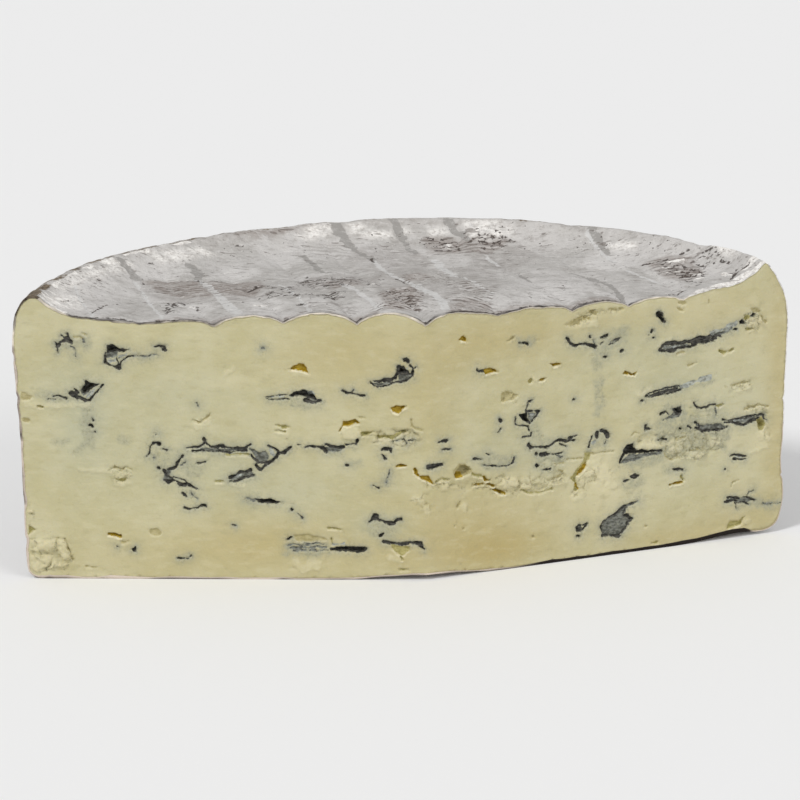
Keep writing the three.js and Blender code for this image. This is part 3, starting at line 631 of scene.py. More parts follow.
# Shallower cracks and hollows
OLIVE = [
    (0.14, [(-97, 44.4), (-95.8, 44.3)]),
    (0, [(-77.9, 25.9), (-75.2, 26.1), (-76, 25.2)]),
    (0, [(-100, 13.8), (-98.2, 12.6), (-100, 11.4)]),
    (0, [(-37.9, 40), (-35.5, 40.1), (-34.2, 39.4), (-36, 39.3)]),
    (0.1, [(-37.7, 38.5), (-35.5, 38.4)]),
    (0.1, [(-53, 25.3), (-51, 25.3)]),
    (0, [(-16.8, 38.3), (-13.3, 38.4), (-14.6, 37.4), (-16.4, 37.3)]),
    (0, [(-13, 37.3), (-10.6, 37.3), (-8.6, 37.6), (-6.6, 38.6), (-4.8, 38.6), (-6.4, 37.8), (-8.6, 36.4),
         (-12.6, 36.8)]),
    (0.12, [(-50, 32.5), (-47, 32.5), (-44.5, 32.3)]),
    (0, [(-9.4, 9.3), (-4.6, 8.6), (-4.4, 7.8), (-5.4, 6.6), (-6, 6.2), (-7.5, 6.8), (-9, 8)]),
    (0.12, [(-6.4, 6), (-6.2, 5.3)]),
    (0.12, [(-25, 13.5), (-23.4, 13.4), (-21.7, 13)]),
    (0.1, [(-24, 10.6), (-23.8, 9.3)]),
    (0.12, [(-6.8, 2.6), (-4.9, 2.6)]),
    (0.14, [(2.8, 25.3), (4.4, 25.9), (6, 25.3)]),
    (0, [(28.2, 48.6), (28.8, 49.2), (29.6, 48.4), (28.6, 48)]),
    (0, [(12.4, 26.6), (14.6, 25.6), (16, 24.8), (14.4, 25), (12.4, 26)]),
    (0, [(44.6, 28), (46.4, 27.6), (46, 26), (45.2, 25.2), (43.6, 23.4), (42, 21.8), (42.3, 20.4),
         (42.9, 19), (42.6, 18.2), (41.4, 18.4), (41.8, 20.4), (40.4, 21.8), (42, 23), (43.6, 24.6),
         (44.6, 26)]),
    (0, [(91.2, 55.8), (93.2, 55.7), (92, 55.2)]),
    (0.18, [(83.8, 50.6), (84.8, 50), (85.6, 50.2), (87.5, 50.8)]),
    (0, [(82.6, 36.4), (85, 36.3), (83.6, 35.5)]),
    (0, [(95, 31.4), (96.4, 31.9), (97.6, 31), (98, 29.6), (97, 28.4), (95.8, 28.2)]),
    (0.12, [(26.6, 20.2), (28.4, 19.2), (31, 18.9), (35.4, 19.6)]),
    (0.3, [(73.2, 18.7), (73.5, 17.5)]),
    (0, [(86.8, 2.6), (88, 4.6), (90.4, 4.4), (92, 5.3), (91, 3.4)]),
    (0.14, [(64.6, 1.6), (66, 1.5)]),
    (0, [(90.4, 58.6), (91.8, 59.2), (92.4, 58.8), (91.6, 57.8)]),
]
# Faint creases and dents
TAN = [
    (0.14, [(-87.6, 62.2), (-86.2, 62.3), (-85.4, 61.9)]),
    (0.1, [(-85.6, 63.2), (-84.4, 62.8)]),
    (0.4, [(-100.4, 41), (-99.4, 41)]),
    (0, [(-101, 48.4), (-100, 48.2), (-98, 46.8), (-99, 46.2), (-101.2, 46.4)]),
    (0, [(-79, 28.6), (-78, 29.4), (-76.6, 28.5)]),
    (0.14, [(-76.8, 28.2), (-75.4, 28.9), (-74.1, 28.4)]),
    (0.14, [(-91, 10.2), (-90.4, 8), (-89, 5)]),
    (0.14, [(-76.5, 9.5), (-75.2, 9.7)]),
    (0.14, [(-85.5, 3), (-83.5, 2.9)]),
    (0.14, [(-58.3, 41.2), (-57, 40.6), (-55, 42), (-54.3, 42.8)]),
    (0.5, [(-69, 12.3), (-67.8, 12)]),
    (0, [(-33.6, 11.4), (-30, 11.8), (-26, 10.9), (-25, 10.2), (-29, 9.8), (-33, 10)]),
    (0.12, [(-17, 42.2), (-15.6, 41.9)]),
    (0.14, [(-4, 41.5), (-3.8, 39.8), (-3, 39.2), (-1.2, 38.7)]),
    (0, [(20.8, 46), (22, 46.5), (25.6, 45), (23.8, 43.9), (20.8, 43.9)]),
    (0.12, [(22.1, 59.5), (24.2, 60.1)]),
    (0, [(38.3, 62), (39.4, 62.5), (41.5, 63.2), (43, 63.8), (45.8, 63.4), (46.2, 62.8), (43.4, 62.5),
         (42.4, 61.7), (39.4, 61.7)]),
    (0, [(44.8, 65.2), (46.6, 65.2), (48, 64.4), (47.4, 63.6), (46.4, 63.9)]),
    (0.3, [(51, 64.7), (53, 64.6)]),
    (0.2, [(54.2, 64.8), (55, 64.6)]),
    (0, [(7.6, 27.6), (9, 29), (10.8, 28.8), (12.4, 27.6), (12.6, 26.6), (10.6, 26), (9.6, 25.4),
         (7.6, 25.4)]),
    (0.12, [(35.4, 22), (38, 22.8), (38.6, 24)]),
    (0.12, [(36, 26), (38.6, 26)]),
    (0.14, [(37, 24.4), (38.4, 23.6)]),
    (0.1, [(39.6, 26.7), (45, 26.8)]),
    (0.12, [(45.6, 27.5), (49, 27.4), (53, 27.5)]),
    (0.1, [(58.3, 31.3), (58.9, 31.9), (60.3, 31.3)]),
    (0.16, [(71.1, 51.3), (72.9, 51.6)]),
    (0.14, [(74.5, 47.9), (77, 48.3)]),
    (0, [(92.4, 61.2), (94, 61.2), (95.4, 60.2), (94.6, 59.6), (93.2, 59.8)]),
    (0.3, [(95.8, 58.2), (96, 57.4), (97, 57)]),
    (0, [(70.6, 63.3), (71.6, 63.3), (72.9, 62.5), (72.2, 62.2)]),
    (0.3, [(71.2, 64.5), (73, 64.5)]),
    (0.1, [(79.8, 64.5), (80, 63.8)]),
    (0.14, [(87.8, 41.2), (90, 41.6), (92.6, 41.6)]),
    (0.16, [(91.4, 34.6), (94.4, 34.6), (95.6, 35.2), (98.4, 34.2)]),
    (0.12, [(68.4, 26.6), (68, 24.6), (70, 23.2), (72.6, 23.6), (74.6, 25)]),
    (0.12, [(71, 28.6), (74, 29)]),
    (0.12, [(75, 25), (78, 25.2)]),
    (0.12, [(87.8, 14), (88.4, 15), (90, 15.4)]),
    (0.14, [(9.2, 19), (8.8, 17.8)]),
    (0.16, [(7.8, 13.3), (8, 13.3)]),
    (0.16, [(9.9, 12.4), (10.1, 12.4)]),
    (0.16, [(29.8, 7.5), (30, 7.5)]),
    (0.14, [(62.4, 6.5), (63, 6.5)]),
]
# Raised ridges beside the cracks, painted pale as highlight
FLAKES = [
    (0.4, [(-100, 44.8), (-96, 44.8), (-92, 44.8), (-84, 45.2)]),
    (0.3, [(-87, 28.4), (-83, 28), (-78.5, 28)]),
    (0.5, [(-77, 27), (-74.6, 27)]),
    (0.4, [(-78, 24.6), (-75, 24.8)]),
    (0.4, [(-50.2, 53.3), (-48.7, 54.2)]),
    (0.34, [(-32.8, 53.3), (-29.6, 52.9)]),
    (0.4, [(-37.6, 37.8), (-35, 37.8)]),
    (0.6, [(-57.6, 40), (-55, 40.8)]),
    (0.4, [(-58, 31.8), (-55, 32)]),
    (0.3, [(-49, 24.6), (-46, 24.4)]),
    (0.9, [(-33, 4.6), (-31, 3.2), (-27, 4.2)]),
    (0.5, [(-13, 36), (-8, 35.6), (-4.6, 36.2)]),
    (0.3, [(-6, 44.1), (-5.4, 44.3)]),
    (0.4, [(-9.6, 5.8), (-7, 5)]),
    (0.5, [(-3.2, 21.4), (-1.6, 21.6), (-1.4, 20.4)]),
    (0.5, [(0, 18.2), (0.2, 17.8)]),
    (0.4, [(10.2, 18), (10.5, 17)]),
    (0.3, [(29.8, 48.9), (30.8, 48.4)]),
    (0.5, [(43, 61.4), (47, 61.6)]),
    (0.8, [(44, 20.4), (46, 23), (47.6, 24.4)]),
    (0.6, [(41.4, 16.8), (43.6, 16.6)]),
    (1, [(47.6, 25), (50, 22), (52.4, 18.4)]),
    (0.22, [(65.4, 53.6), (66.8, 54.9), (69, 55.1)]),
    (0.4, [(60, 41.6), (63, 42.6)]),
    (0.5, [(89, 39.8), (92, 40.6)]),
    (0.5, [(93, 34), (96.5, 34)]),
    (0.7, [(96, 27), (98.4, 26)]),
    (0.4, [(93, 22.4), (98, 23.6)]),
    (0.4, [(92.6, 3.8), (93.4, 4.2)]),
]
# Lumps of paste that stand out of the torn places, painted paler as highlight
LUMPS = [
    (0, [(-21.5, 38.4), (-20, 39.6), (-18.2, 39.7), (-16.8, 38.6), (-16.6, 37.2), (-18, 36.4),
         (-20.6, 36.6)]),
    (0, [(2.8, 25), (5.6, 25), (6.6, 24.2), (5.6, 23), (3.8, 22.9)]),
    (0, [(20.4, 22.6), (22, 23.6), (24.6, 24), (25.4, 22.4), (24.6, 21.4), (22.2, 20.8)]),
    (0, [(26, 22.6), (27, 23.6), (29, 22.6), (30, 21.4), (28.6, 20.2), (26.8, 20.4)]),
    (0, [(32, 21.2), (35, 22), (38, 21.8), (39.6, 20.6), (36, 20.2)]),
    (0, [(59.2, 27.6), (60.4, 28.6), (62, 29), (65, 28.2), (67.6, 27.4), (66.4, 26.8), (62.4, 27),
         (60.4, 27.2)]),
    (0, [(80.4, 26.4), (82, 28), (84, 27.6), (84, 26), (82, 25.2)]),
    (0, [(69, 28.2), (71, 28.2), (73, 27), (72.6, 25), (70.4, 24.4), (69, 25.4)]),
    (0, [(75.4, 24.4), (78, 24.6), (80, 23.8), (78, 22.6), (75, 23)]),
    (0, [(91.6, 58), (93.4, 58.5), (95.2, 58.6), (95.6, 57.4), (94.6, 56.2), (92, 56)]),
]
# Large crumbs at the foot of the left face's outer corner, painted paler as highlight
CHUNKS = [
    (0, [(-99.9, 10.2), (-97, 10), (-93.4, 10.1), (-93.4, 8.4), (-94.7, 7.1), (-97, 7.1), (-99.9, 7.4)]),
    (0, [(-99.7, 6.3), (-97.5, 6.1), (-94.7, 6.1), (-94.6, 4.6), (-95.1, 3.5), (-96.8, 2.2), (-98.4, 1.4),
         (-99.7, 3)]),
    (0, [(-93, 9.2), (-92.8, 10), (-91.1, 10), (-90.6, 8), (-89.4, 5.2), (-91.5, 5.1), (-92.7, 7)]),
    (0, [(-94.3, 4.4), (-92, 4.2), (-90.3, 3.8), (-92, 3.1), (-94, 2.8), (-95.6, 2.4)]),
    (0, [(-100.3, 16.8), (-100.2, 17.9), (-99, 18.1), (-98.8, 17.2)]),
]
# The deepest parts of the holes
HOLES = [
    (0, [(-33.6, 47.8), (-30.7, 48.7), (-29, 48.3), (-27.6, 46.6), (-31.5, 47.4)]),
    (0, [(-79.4, 59.8), (-77.3, 59.8), (-76, 59), (-79.4, 58.6)]),
    (0, [(-84.8, 50.8), (-82.8, 50.2), (-85, 48), (-86, 48.6)]),
    (0, [(-7.2, 53.2), (-6.9, 54.8), (-4.8, 53.9)]),
    (0, [(-42.6, 20.5), (-40, 20.6), (-37.4, 20.2), (-41, 19.9)]),
    (0, [(-24, 7.9), (-20, 8.4), (-16, 8.3), (-16, 7.4), (-20, 7.4)]),
    (0, [(7.9, 26), (9.6, 28.4), (11.8, 28), (12.2, 27), (10, 26)]),
    (0, [(56.2, 26.4), (56.8, 28.4), (58.4, 28.6), (59.6, 26.8), (66.6, 26), (60, 26.2)]),
    (0, [(65, 61.6), (65.4, 62.6), (67.6, 60), (66.2, 60.4)]),
    (0, [(89.6, 57.6), (90.2, 58), (91, 57.4)]),
    (0, [(95.6, 30.2), (96.2, 31.2), (97.4, 30.6), (97.4, 29), (96.2, 28.8)]),
    (0, [(70.6, 36.4), (72, 36.6), (72.2, 35.4)]),
    (0, [(25.9, 39.9), (27.8, 39.9), (28.6, 37.8), (28.3, 37.6)]),
]

# Where the paste has torn into crumbs: (lump size, height of the lumps, how dark the gaps
# between them are painted as shade, outline)
CRUMBS = [
    (1.9, 0.56, 0, [(-100.2, 10.8), (-95, 10.8), (-90.6, 10.4), (-88, 4), (-92, 2), (-98, 1),
                    (-100.4, 3)]),
    (1.5, 0.5, 1, [(-99.9, 10), (-100.6, 21), (-99, 20), (-98.2, 15)]),
    (1.6, 0.5, 1, [(-79.6, 25), (-79.5, 29.4), (-74, 29.4), (-74.2, 25)]),
    (1.4, 0.3, 0.3, [(-59, 40), (-56, 43), (-53.8, 42.6), (-55.4, 39.4)]),
    (2.2, 0.6, 1, [(-16.6, 38.8), (-12.6, 39), (-4, 39), (-0.6, 37.6), (-3, 34.4), (-9, 34), (-16, 36.4)]),
    (2.4, 0.7, 1, [(-1.6, 26), (8, 25), (19, 24.4), (30, 24.2), (39, 24), (38.4, 20.4), (31, 19),
                   (20, 19.4), (13, 22), (4, 22.8), (-1, 23.6)]),
    (1.5, 0.3, 0.3, [(31, 27.6), (38.4, 28), (39.4, 24.5), (31.6, 24.4)]),
    (2.4, 0.8, 1, [(59, 28.4), (60.4, 31), (67.6, 30.8), (69.4, 28)]),
    (2.3, 0.6, 1, [(66.4, 29), (72, 32), (84, 29.4), (86, 25), (80, 22.4), (69.6, 22.6), (67.4, 25)]),
    (1.8, 0.7, 1, [(90.4, 59.4), (92, 60.2), (95.2, 61), (96.9, 57), (94, 54.8), (91, 55.2)]),
    (1.8, 0.5, 1, [(92, 35), (98.4, 35), (99.4, 26), (96, 25), (97.6, 30), (92, 33.8)]),
    (1.7, 0.6, 1, [(38.6, 61.6), (44.2, 65), (53, 65), (55, 64), (46, 62.2), (40, 61.2)]),
    (1.8, 0.5, 1, [(84, 41.6), (93, 42.4), (94, 39.4), (87, 39)]),
    (1.6, 0.4, 0.7, [(-5, 22.4), (1, 22), (2, 17), (-3.6, 18)]),
    (1.5, 0.3, 0.3, [(74, 37.4), (77, 36), (82, 35.4), (82, 33), (75, 33)]),
    (1.5, 0.4, 0.7, [(21, 46.8), (26, 45.4), (25, 43.2), (20, 43.4)]),
    (1.6, 0.5, 1, [(40.6, 18.4), (46, 24), (49, 23), (47, 18), (42, 16)]),
]

# Each kind of mark: its name, its marks, how soft its edge is, how deep it lies and how far
# its blue stain spreads, in mm, and how strongly its lower lip catches the light, as a painted highlight
MARK_KINDS = [
    ("flake", FLAKES, 0.5, -0.22, 0, 0),
    ("lump", LUMPS, 0.45, -0.45, 0, 0),
    ("chunk", CHUNKS, 0.25, -0.75, 0, 0),
    ("haze", HAZE, 0.9, 0.0, 0, 0),
    ("tan", TAN, 0.3, 0.5, 0, 0.4),
    ("olive", OLIVE, 0.3, 0.9, 0, 0.7),
    ("amber", AMBER, 0.16, 1.2, 0, 1),
    ("mould", MOULD, 0.3, 0.5, 1.2, 0),
    ("ink", INK, 0.16, 0.9, 0.8, 0.15),
    ("bloom", BLOOM, 0.2, 0.1, 0, 0),
    ("hole", HOLES, 0.3, 2.4, 0, 0.3),
]
LIP_SHIFT = 0.5
LIP_HEIGHT = 0.22
# How far around a mark it can change the surface, and more than any distance to an edge
MARK_REACH = 3.0
FAR_OFF = 9.0

# Marks on the top rind, as (half width, [(x, y), ...]) from the wheel's axis. First the pale
# strips along the grooves: painted highlight on the grooves' lit banks
GROOVE_HIGHLIGHTS = [
    (0.3, [(-89.5, 24.8), (-88, 17.2), (-84, 6.2), (-83, 1)]),
    (0.32, [(-76.5, 41.5), (-73.4, 32.2), (-69, 15.1), (-65.8, 3)]),
    (0, [(-61.2, 47.8), (-59.2, 47), (-55.8, 40.7), (-51.4, 23.6), (-47, 9), (-45.8, 3), (-47.6, 2.4),
         (-49.8, 8.4), (-53.4, 21), (-55, 30), (-58.4, 40.7)]),
    (0.34, [(-38.3, 39), (-32.8, 20.3), (-29.2, 3)]),
    (0.6, [(-22.4, 37), (-15.5, 18.9), (-11.9, 4.6)]),
    (0.4, [(-15.1, 74), (-9.3, 48.5), (-3.1, 33.9)]),
    (0.8, [(-3.1, 33.9), (2.5, 18.5), (4.4, 6)]),
    (0.8, [(1.3, 74), (6.7, 51.2)]),
    (0.36, [(6.7, 51.2), (10.2, 43.9), (16.4, 23.8)]),
    (0.5, [(15, 80), (18.4, 68)]),
    (0.4, [(42.1, 85.2), (46.2, 76.1), (48.6, 68.4)]),
    (0.4, [(52, 60), (60, 46)]),
]
# Grey bands in the grooves near the rim and along a fold: painted shade
GROOVE_SHADE_BANDS = [
    (0.7, [(-80.4, 51.3), (-78.6, 48.1)]),
    (1.1, [(-78.6, 48.1), (-76, 43.2)]),
    (0.9, [(-62.6, 60.3), (-59.9, 52.7), (-60, 48)]),
    (1.0, [(-26, 93.4), (-24, 89.4), (-20.4, 83.2)]),
    (0.7, [(-20.7, 83.2), (-15.1, 75)]),
    (0.85, [(-10.4, 96.3), (-7.8, 90.6)]),
    (0.6, [(-7.8, 90.6), (-4.1, 81.9)]),
    (0.8, [(4.8, 96.1), (6.6, 93), (9.6, 90.4)]),
    (0.6, [(-33.9, 76.1), (-27.4, 57.1)]),
    (0.8, [(43.4, 86), (47.1, 75)]),
    (0, [(36, 61.6), (38.9, 59.2), (43.6, 53.4), (47.4, 44.4), (49.6, 33.4), (50.9, 22), (49.2, 22),
         (48.2, 33.2), (46.2, 43.8), (42.4, 52.4), (38.3, 57.8)]),
    (0.5, [(23.5, 57), (26.5, 46)]),
]
# Short dark creases
CREASES = [
    (0.12, [(-74, 43.5), (-66, 45.5), (-58, 45.8)]),
    (0.12, [(-56, 46.6), (-44, 47.4)]),
    (0.14, [(-83.7, 6.5), (-81.5, 14.7), (-78.1, 18.4)]),
    (0.24, [(-91.5, 9), (-90.4, 12)]),
    (0.5, [(-45.8, 34.4), (-43.6, 37)]),
    (0.26, [(-60.4, 46.6), (-58.8, 45.4)]),
    (0.24, [(-74, 41.5), (-73.6, 39)]),
    (0.2, [(-87.5, 34.5), (-85.8, 35.6)]),
    (0.2, [(-84.8, 34.6), (-84, 35.4)]),
    (0.22, [(-73.4, 55.3), (-72.4, 55.8)]),
    (0.26, [(-52, 77), (-50, 77)]),
    (0.16, [(-65.5, 7.8), (-64.9, 15.5), (-63.8, 23.4)]),
    (0.16, [(-66.4, 20), (-64.6, 21.8), (-62.9, 17.2)]),
    (0.3, [(-65, 11), (-63.8, 13)]),
    (0.2, [(-59.6, 18.4), (-58, 18), (-57.8, 14)]),
    (0.24, [(-47.6, 17), (-44.6, 19)]),
    (0.3, [(-40, 9.4), (-38.4, 8)]),
    (0.3, [(-33.8, 25), (-33.2, 21.6)]),
    (0.34, [(-32.4, 11.6), (-31.4, 13.4)]),
    (0.2, [(-32, 52.6), (-31.6, 50.4)]),
    (0.3, [(-19.6, 51), (-18, 51)]),
    (0.22, [(-8.6, 44.6), (-7, 41), (-5.4, 37)]),
    (0.24, [(-15.6, 76), (-15, 72)]),
    (0.3, [(4, 48.6), (7.6, 49.6), (8.4, 48)]),
    (0.24, [(2.6, 86), (3.6, 84.6)]),
    (0.3, [(56.3, 64.3), (62.5, 64.2)]),
    (0.24, [(61, 60.7), (64.3, 58.2)]),
    (0.24, [(64.3, 56.8), (69.3, 54.7)]),
    (0.26, [(63, 54.6), (67.4, 53)]),
    (0.26, [(64.4, 51.1), (67.3, 49.3)]),
    (0.24, [(66.2, 64.9), (68.2, 64.9)]),
    (0.2, [(70, 58), (72, 55)]),
    (0.2, [(66, 46), (70, 43)]),
    (0.24, [(72, 62), (75, 60)]),
    (0.2, [(76, 55), (78, 52)]),
    (0.2, [(76.6, 45), (80, 46.4)]),
    (0.3, [(-82, 2), (-76, 2), (-72, 1.4)]),
    (0.3, [(-88, 0.6), (-84, 0.8)]),
    (0.24, [(-71, 0.9), (-62, 1)]),
    (0.3, [(-18.6, 0.9), (-16.6, 0.9)]),
    (0.26, [(-36, 0.8), (-34.6, 0.8)]),
    (0.3, [(-1.4, 0.9), (0.6, 0.9)]),
    (0.2, [(14, 8.4), (20, 11.4), (26, 14.2)]),
    (0.2, [(36, 19), (41, 21.6), (48, 25)]),
    (0.25, [(77.6, 41.6), (79, 44.6), (83, 45.4)]),
    (0.2, [(66, 40), (72, 41.2)]),
    (0.2, [(61, 33.6), (66, 38.6)]),
]
# Brownish areas
BROWN = [
    (0, [(-74, 42.5), (-66, 45.6), (-58, 46), (-44, 46), (-42, 38), (-44, 29), (-52, 26), (-62, 28),
         (-70, 34)]),
    (0, [(-2, 91), (4, 91), (12, 89.6), (21, 88.6), (20, 84), (14, 81), (6, 80), (0, 80)]),
    (0, [(-12.2, 20.8), (-10.7, 31.8), (-4.8, 33.9), (-1.4, 22), (-2.5, 10), (-6, 4), (-10, 5)]),
    (0, [(5, 9), (10, 19), (15, 16), (16, 10), (7, 3.6)]),
    (0, [(-6.5, 40), (-6.5, 48), (-3, 54), (0, 52), (-1, 40)]),
    (0, [(-28, 43), (-18, 43), (-17, 34), (-24, 31)]),
    (0, [(57, 66), (62, 66), (69, 62), (71, 52), (67, 46), (62, 50), (59, 58)]),
    (0, [(38, 20), (42, 27), (48, 29), (49, 25), (42, 21)]),
    (1.2, [(6, 4.6), (14, 8.6), (26, 14.4), (38, 20.2), (49, 25.4)]),
    (1, [(-66, 1.4), (-58, 1.8), (-50, 1.6)]),
    (0.8, [(-23, 1.2), (-13, 1.2)]),
    (0.8, [(-39, 1.2), (-31, 1.2)]),
    (1.2, [(-62, 79), (-40, 88), (-28, 94.4)]),
]
# Broad greyer areas
SHADY = [
    (1.9, [(-62, 75.4), (-45, 86), (-26, 94), (-8, 97), (10, 96.8), (24, 94)]),
    (0, [(-12, 60), (4, 66), (18, 58), (18, 30), (6, 14), (-12, 20), (-16, 44)]),
    (0, [(-75, 44), (-66, 46), (-60, 46.4), (-52, 47.4), (-44, 47), (-42, 38), (-43, 27), (-47, 18),
         (-56, 22), (-67, 22), (-73, 32)]),
    (0, [(-20, 84), (-8, 88), (0, 78), (0, 60), (-14, 58), (-24, 70)]),
    (0, [(10, 60), (22, 62), (30, 78), (24, 86), (12, 80)]),
    (0, [(-36, 30), (-26, 28), (-14, 36), (-12, 50), (-24, 56), (-34, 46)]),
]
# Broad paler areas
BRIGHT = [
    (0, [(60, 46), (72, 46), (80, 52), (74, 62), (62, 70), (56, 60)]),
    (0, [(-80, 51), (-73, 57), (-64, 62), (-61, 52), (-67, 47), (-76, 46)]),
    (0, [(-58, 48.6), (-50, 49), (-44, 54), (-46, 62), (-55, 60)]),
    (0, [(39.6, 65), (41.8, 75), (45.3, 76), (51.4, 71.6), (52, 61), (45.6, 59.6)]),
    (0, [(42, 66), (44, 73), (50, 69), (50, 63)]),
    (0, [(22, 21), (30, 37), (37, 48), (42, 40), (40, 28), (34, 17), (28, 15)]),
    (0, [(40, 37), (47, 35), (49, 26), (43, 29)]),
    (0, [(-46, 16), (-40, 22), (-34, 15), (-38, 5), (-44, 6)]),
    (0, [(-63, 20), (-56, 20), (-52, 14), (-58, 5), (-63, 8)]),
    (0, [(-95, 14), (-90, 28), (-84, 40), (-80, 36), (-88, 20), (-91, 8)]),
    (0, [(31, 46), (42, 48), (44, 35), (36, 29), (28, 36)]),
]
# Soft patches of white bloom
SOFT_WHITE = [
    (0, [(-36.4, 87), (-33, 91), (-27.2, 93), (-26.4, 90.4), (-28.4, 87.6), (-34, 85.6)]),
    (0, [(-22.6, 94), (-14.6, 92.6), (-10.4, 92.6), (-10, 90.4), (-16, 89.4), (-22, 90)]),
    (0, [(-8, 94), (-6, 94), (-5.4, 92.4), (-7.4, 92)]),
    (0, [(-1, 94.2), (4.4, 94.4), (5.4, 92), (0, 91)]),
    (0, [(9, 95), (14, 95.6), (22, 93), (22.4, 89.6), (15, 88.6), (9.8, 90.8)]),
    (0, [(47.4, 79.6), (50.8, 79), (55.4, 75.6), (54.6, 73.4), (50.4, 75), (47.4, 77.4)]),
    (0, [(-94, 22), (-90, 34), (-84, 44), (-79, 52), (-76, 51), (-82, 41), (-88, 29), (-92, 18)]),
    (0, [(-75, 59), (-68, 66), (-61, 72), (-57, 70), (-65, 62), (-70, 57)]),
    (0, [(-95, 4), (-94, 16), (-88, 18), (-86, 9), (-90, 3)]),
    (0, [(75.4, 61), (79, 57.4), (82, 52.6), (80, 51.6), (76, 57)]),
]
# Crisp flecks of white bloom
WHITE = [
    (0, [(67, 32.2), (87.4, 42.2), (86.6, 43.2), (82.8, 41.8), (81.6, 42.6), (79, 41.4), (77.6, 39.4),
         (73.4, 38.4), (71.6, 36.4), (68.4, 34.6)]),
    (0, [(79.4, 44.4), (83.4, 47.2), (86.2, 46), (85, 44.4), (81.6, 43.6)]),
    (0, [(61.8, 62.6), (66.8, 61.6), (66.8, 60), (63.4, 60.2)]),
    (0, [(60.6, 59.6), (64, 58.6), (64.6, 57.2), (61.8, 57.6)]),
    (0.45, [(62.6, 55), (65.4, 54)]),
    (0, [(67.4, 51.8), (71, 50.4), (71.4, 48.8), (68.6, 49.6)]),
    (0.4, [(68.6, 46.4), (70.4, 45.6)]),
    (0.5, [(76, 46.6), (77.4, 44.4)]),
    (0.4, [(84, 51.4), (86.4, 47.6)]),
    (0.6, [(5.2, 85.4), (5.4, 86.2)]),
    (0.3, [(3.6, 84), (5, 84)]),
    (0.8, [(-42.6, 13), (-41, 13)]),
    (0.4, [(-59.4, 16.5), (-58.8, 16.5)]),
    (0.6, [(-95.6, 10), (-91.6, 9)]),
    (0.5, [(-95.4, 6), (-91, 5.4)]),
    (0.4, [(-95.4, 3), (-92.4, 2)]),
    (0.5, [(-93, 0.6), (-89.4, 0.6)]),
    (0.4, [(-95.6, 14), (-90, 15)]),
    (0.5, [(-94.4, 19), (-93.4, 24)]),
    (0.4, [(-92, 30), (-90.6, 33)]),
    (0.5, [(-89.6, 38), (-87, 41)]),
    (0.8, [(-85, 46), (-82, 49)]),
    (0.5, [(-80, 54.6), (-74, 61)]),
    (0.5, [(-72, 66), (-64, 72)]),
    (0.4, [(-14.8, 34.6), (-14.2, 37)]),
    (0.4, [(74, 62), (80, 55)]),
]
# Fine bowed wrinkles: the middle x and the bow of the lines, how strong they are, the outline
WRINKLES = [
    (-7, 0.11, 0.9, [(-12.4, 5), (-13, 22), (-10.5, 32), (-4.8, 34), (-1.4, 22), (-1.4, 6)]),
    (-1.5, 0.1, 0.8, [(-6.4, 56), (3.8, 56), (4, 38), (-5, 38)]),
    (9.5, 0.05, 0.7, [(5, 42), (13, 42), (17, 28), (17.6, 11), (5.4, 4)]),
    (62, 0.03, 0.5, [(57, 65), (68, 64), (71, 52), (66, 46), (61, 52)]),
    (44, 0.1, 0.5, [(38, 19), (42, 27), (48, 29), (49, 24), (42, 18)]),
    (-26, 0.1, 0.4, [(-33, 14), (-21, 14), (-19, 6), (-31, 5)]),
    (-28, 0.06, 0.25, [(-34, 84), (-22, 86), (-20, 76), (-32, 74)]),
    (-56, 0.01, 0.5, [(-72, 42), (-58, 45), (-45, 45), (-43, 36), (-46, 26), (-58, 27), (-68, 33)]),
    (16, 0.03, 0.5, [(0, 88), (12, 90), (22, 88), (20, 80), (6, 80)]),
]
# Where short dark dashes lie close together
DASHED = [
    (3, [(-39, 35), (-35.4, 32)]),
    (4, [(-31, 41), (-22, 40), (-16, 37)]),
    (3, [(-32, 46), (-20, 46)]),
    (3, [(-40, 26), (-30, 22), (-24, 24)]),
    (2, [(-65, 12), (-64, 20)]),
    (3, [(12, 90), (20, 87)]),
    (3, [(0, 88), (5, 84)]),
    (1.6, [(70, 61), (74, 57)]),
    (2.6, [(62, 59), (69, 49)]),
    (3, [(-8, 26), (-6, 14)]),
    (2, [(-48, 36), (-42, 37)]),
]
# Brown crust that shows on the top at the rim
CRUSTED = [
    (0, [(-104, -1), (-97.6, -1), (-96, 4), (-96.2, 9), (-98, 11.5), (-104, 12)]),
    (0.14, [(-98.6, 9), (-95.9, 24)]),
    (0.12, [(-92.6, 34.6), (-84.6, 51.2)]),
    (0.1, [(-80, 57), (-70, 69)]),
    (0.8, [(-97.2, 12.6), (-95.9, 18)]),
    (0.6, [(-94.9, 24), (-94, 27)]),
    (0.7, [(-91, 36), (-90.2, 37.6)]),
    (0.7, [(-88.2, 43), (-86.6, 46.4)]),
    (0.5, [(-80.8, 55.4), (-79.6, 57.2)]),
    (0.4, [(-74.4, 63.4), (-73.2, 64.8)]),
    (0.14, [(-62, 76.4), (-50, 84.6), (-36, 91.6), (-24, 95.4), (-4, 98.4)]),
    (0.3, [(-28, 94.4), (-16, 97)]),
    (0.5, [(2, 98.5), (16, 97.2), (30, 93.8)]),
    (0.3, [(30, 93.8), (44, 88)]),
    (0.2, [(60, 78), (68, 71)]),
]
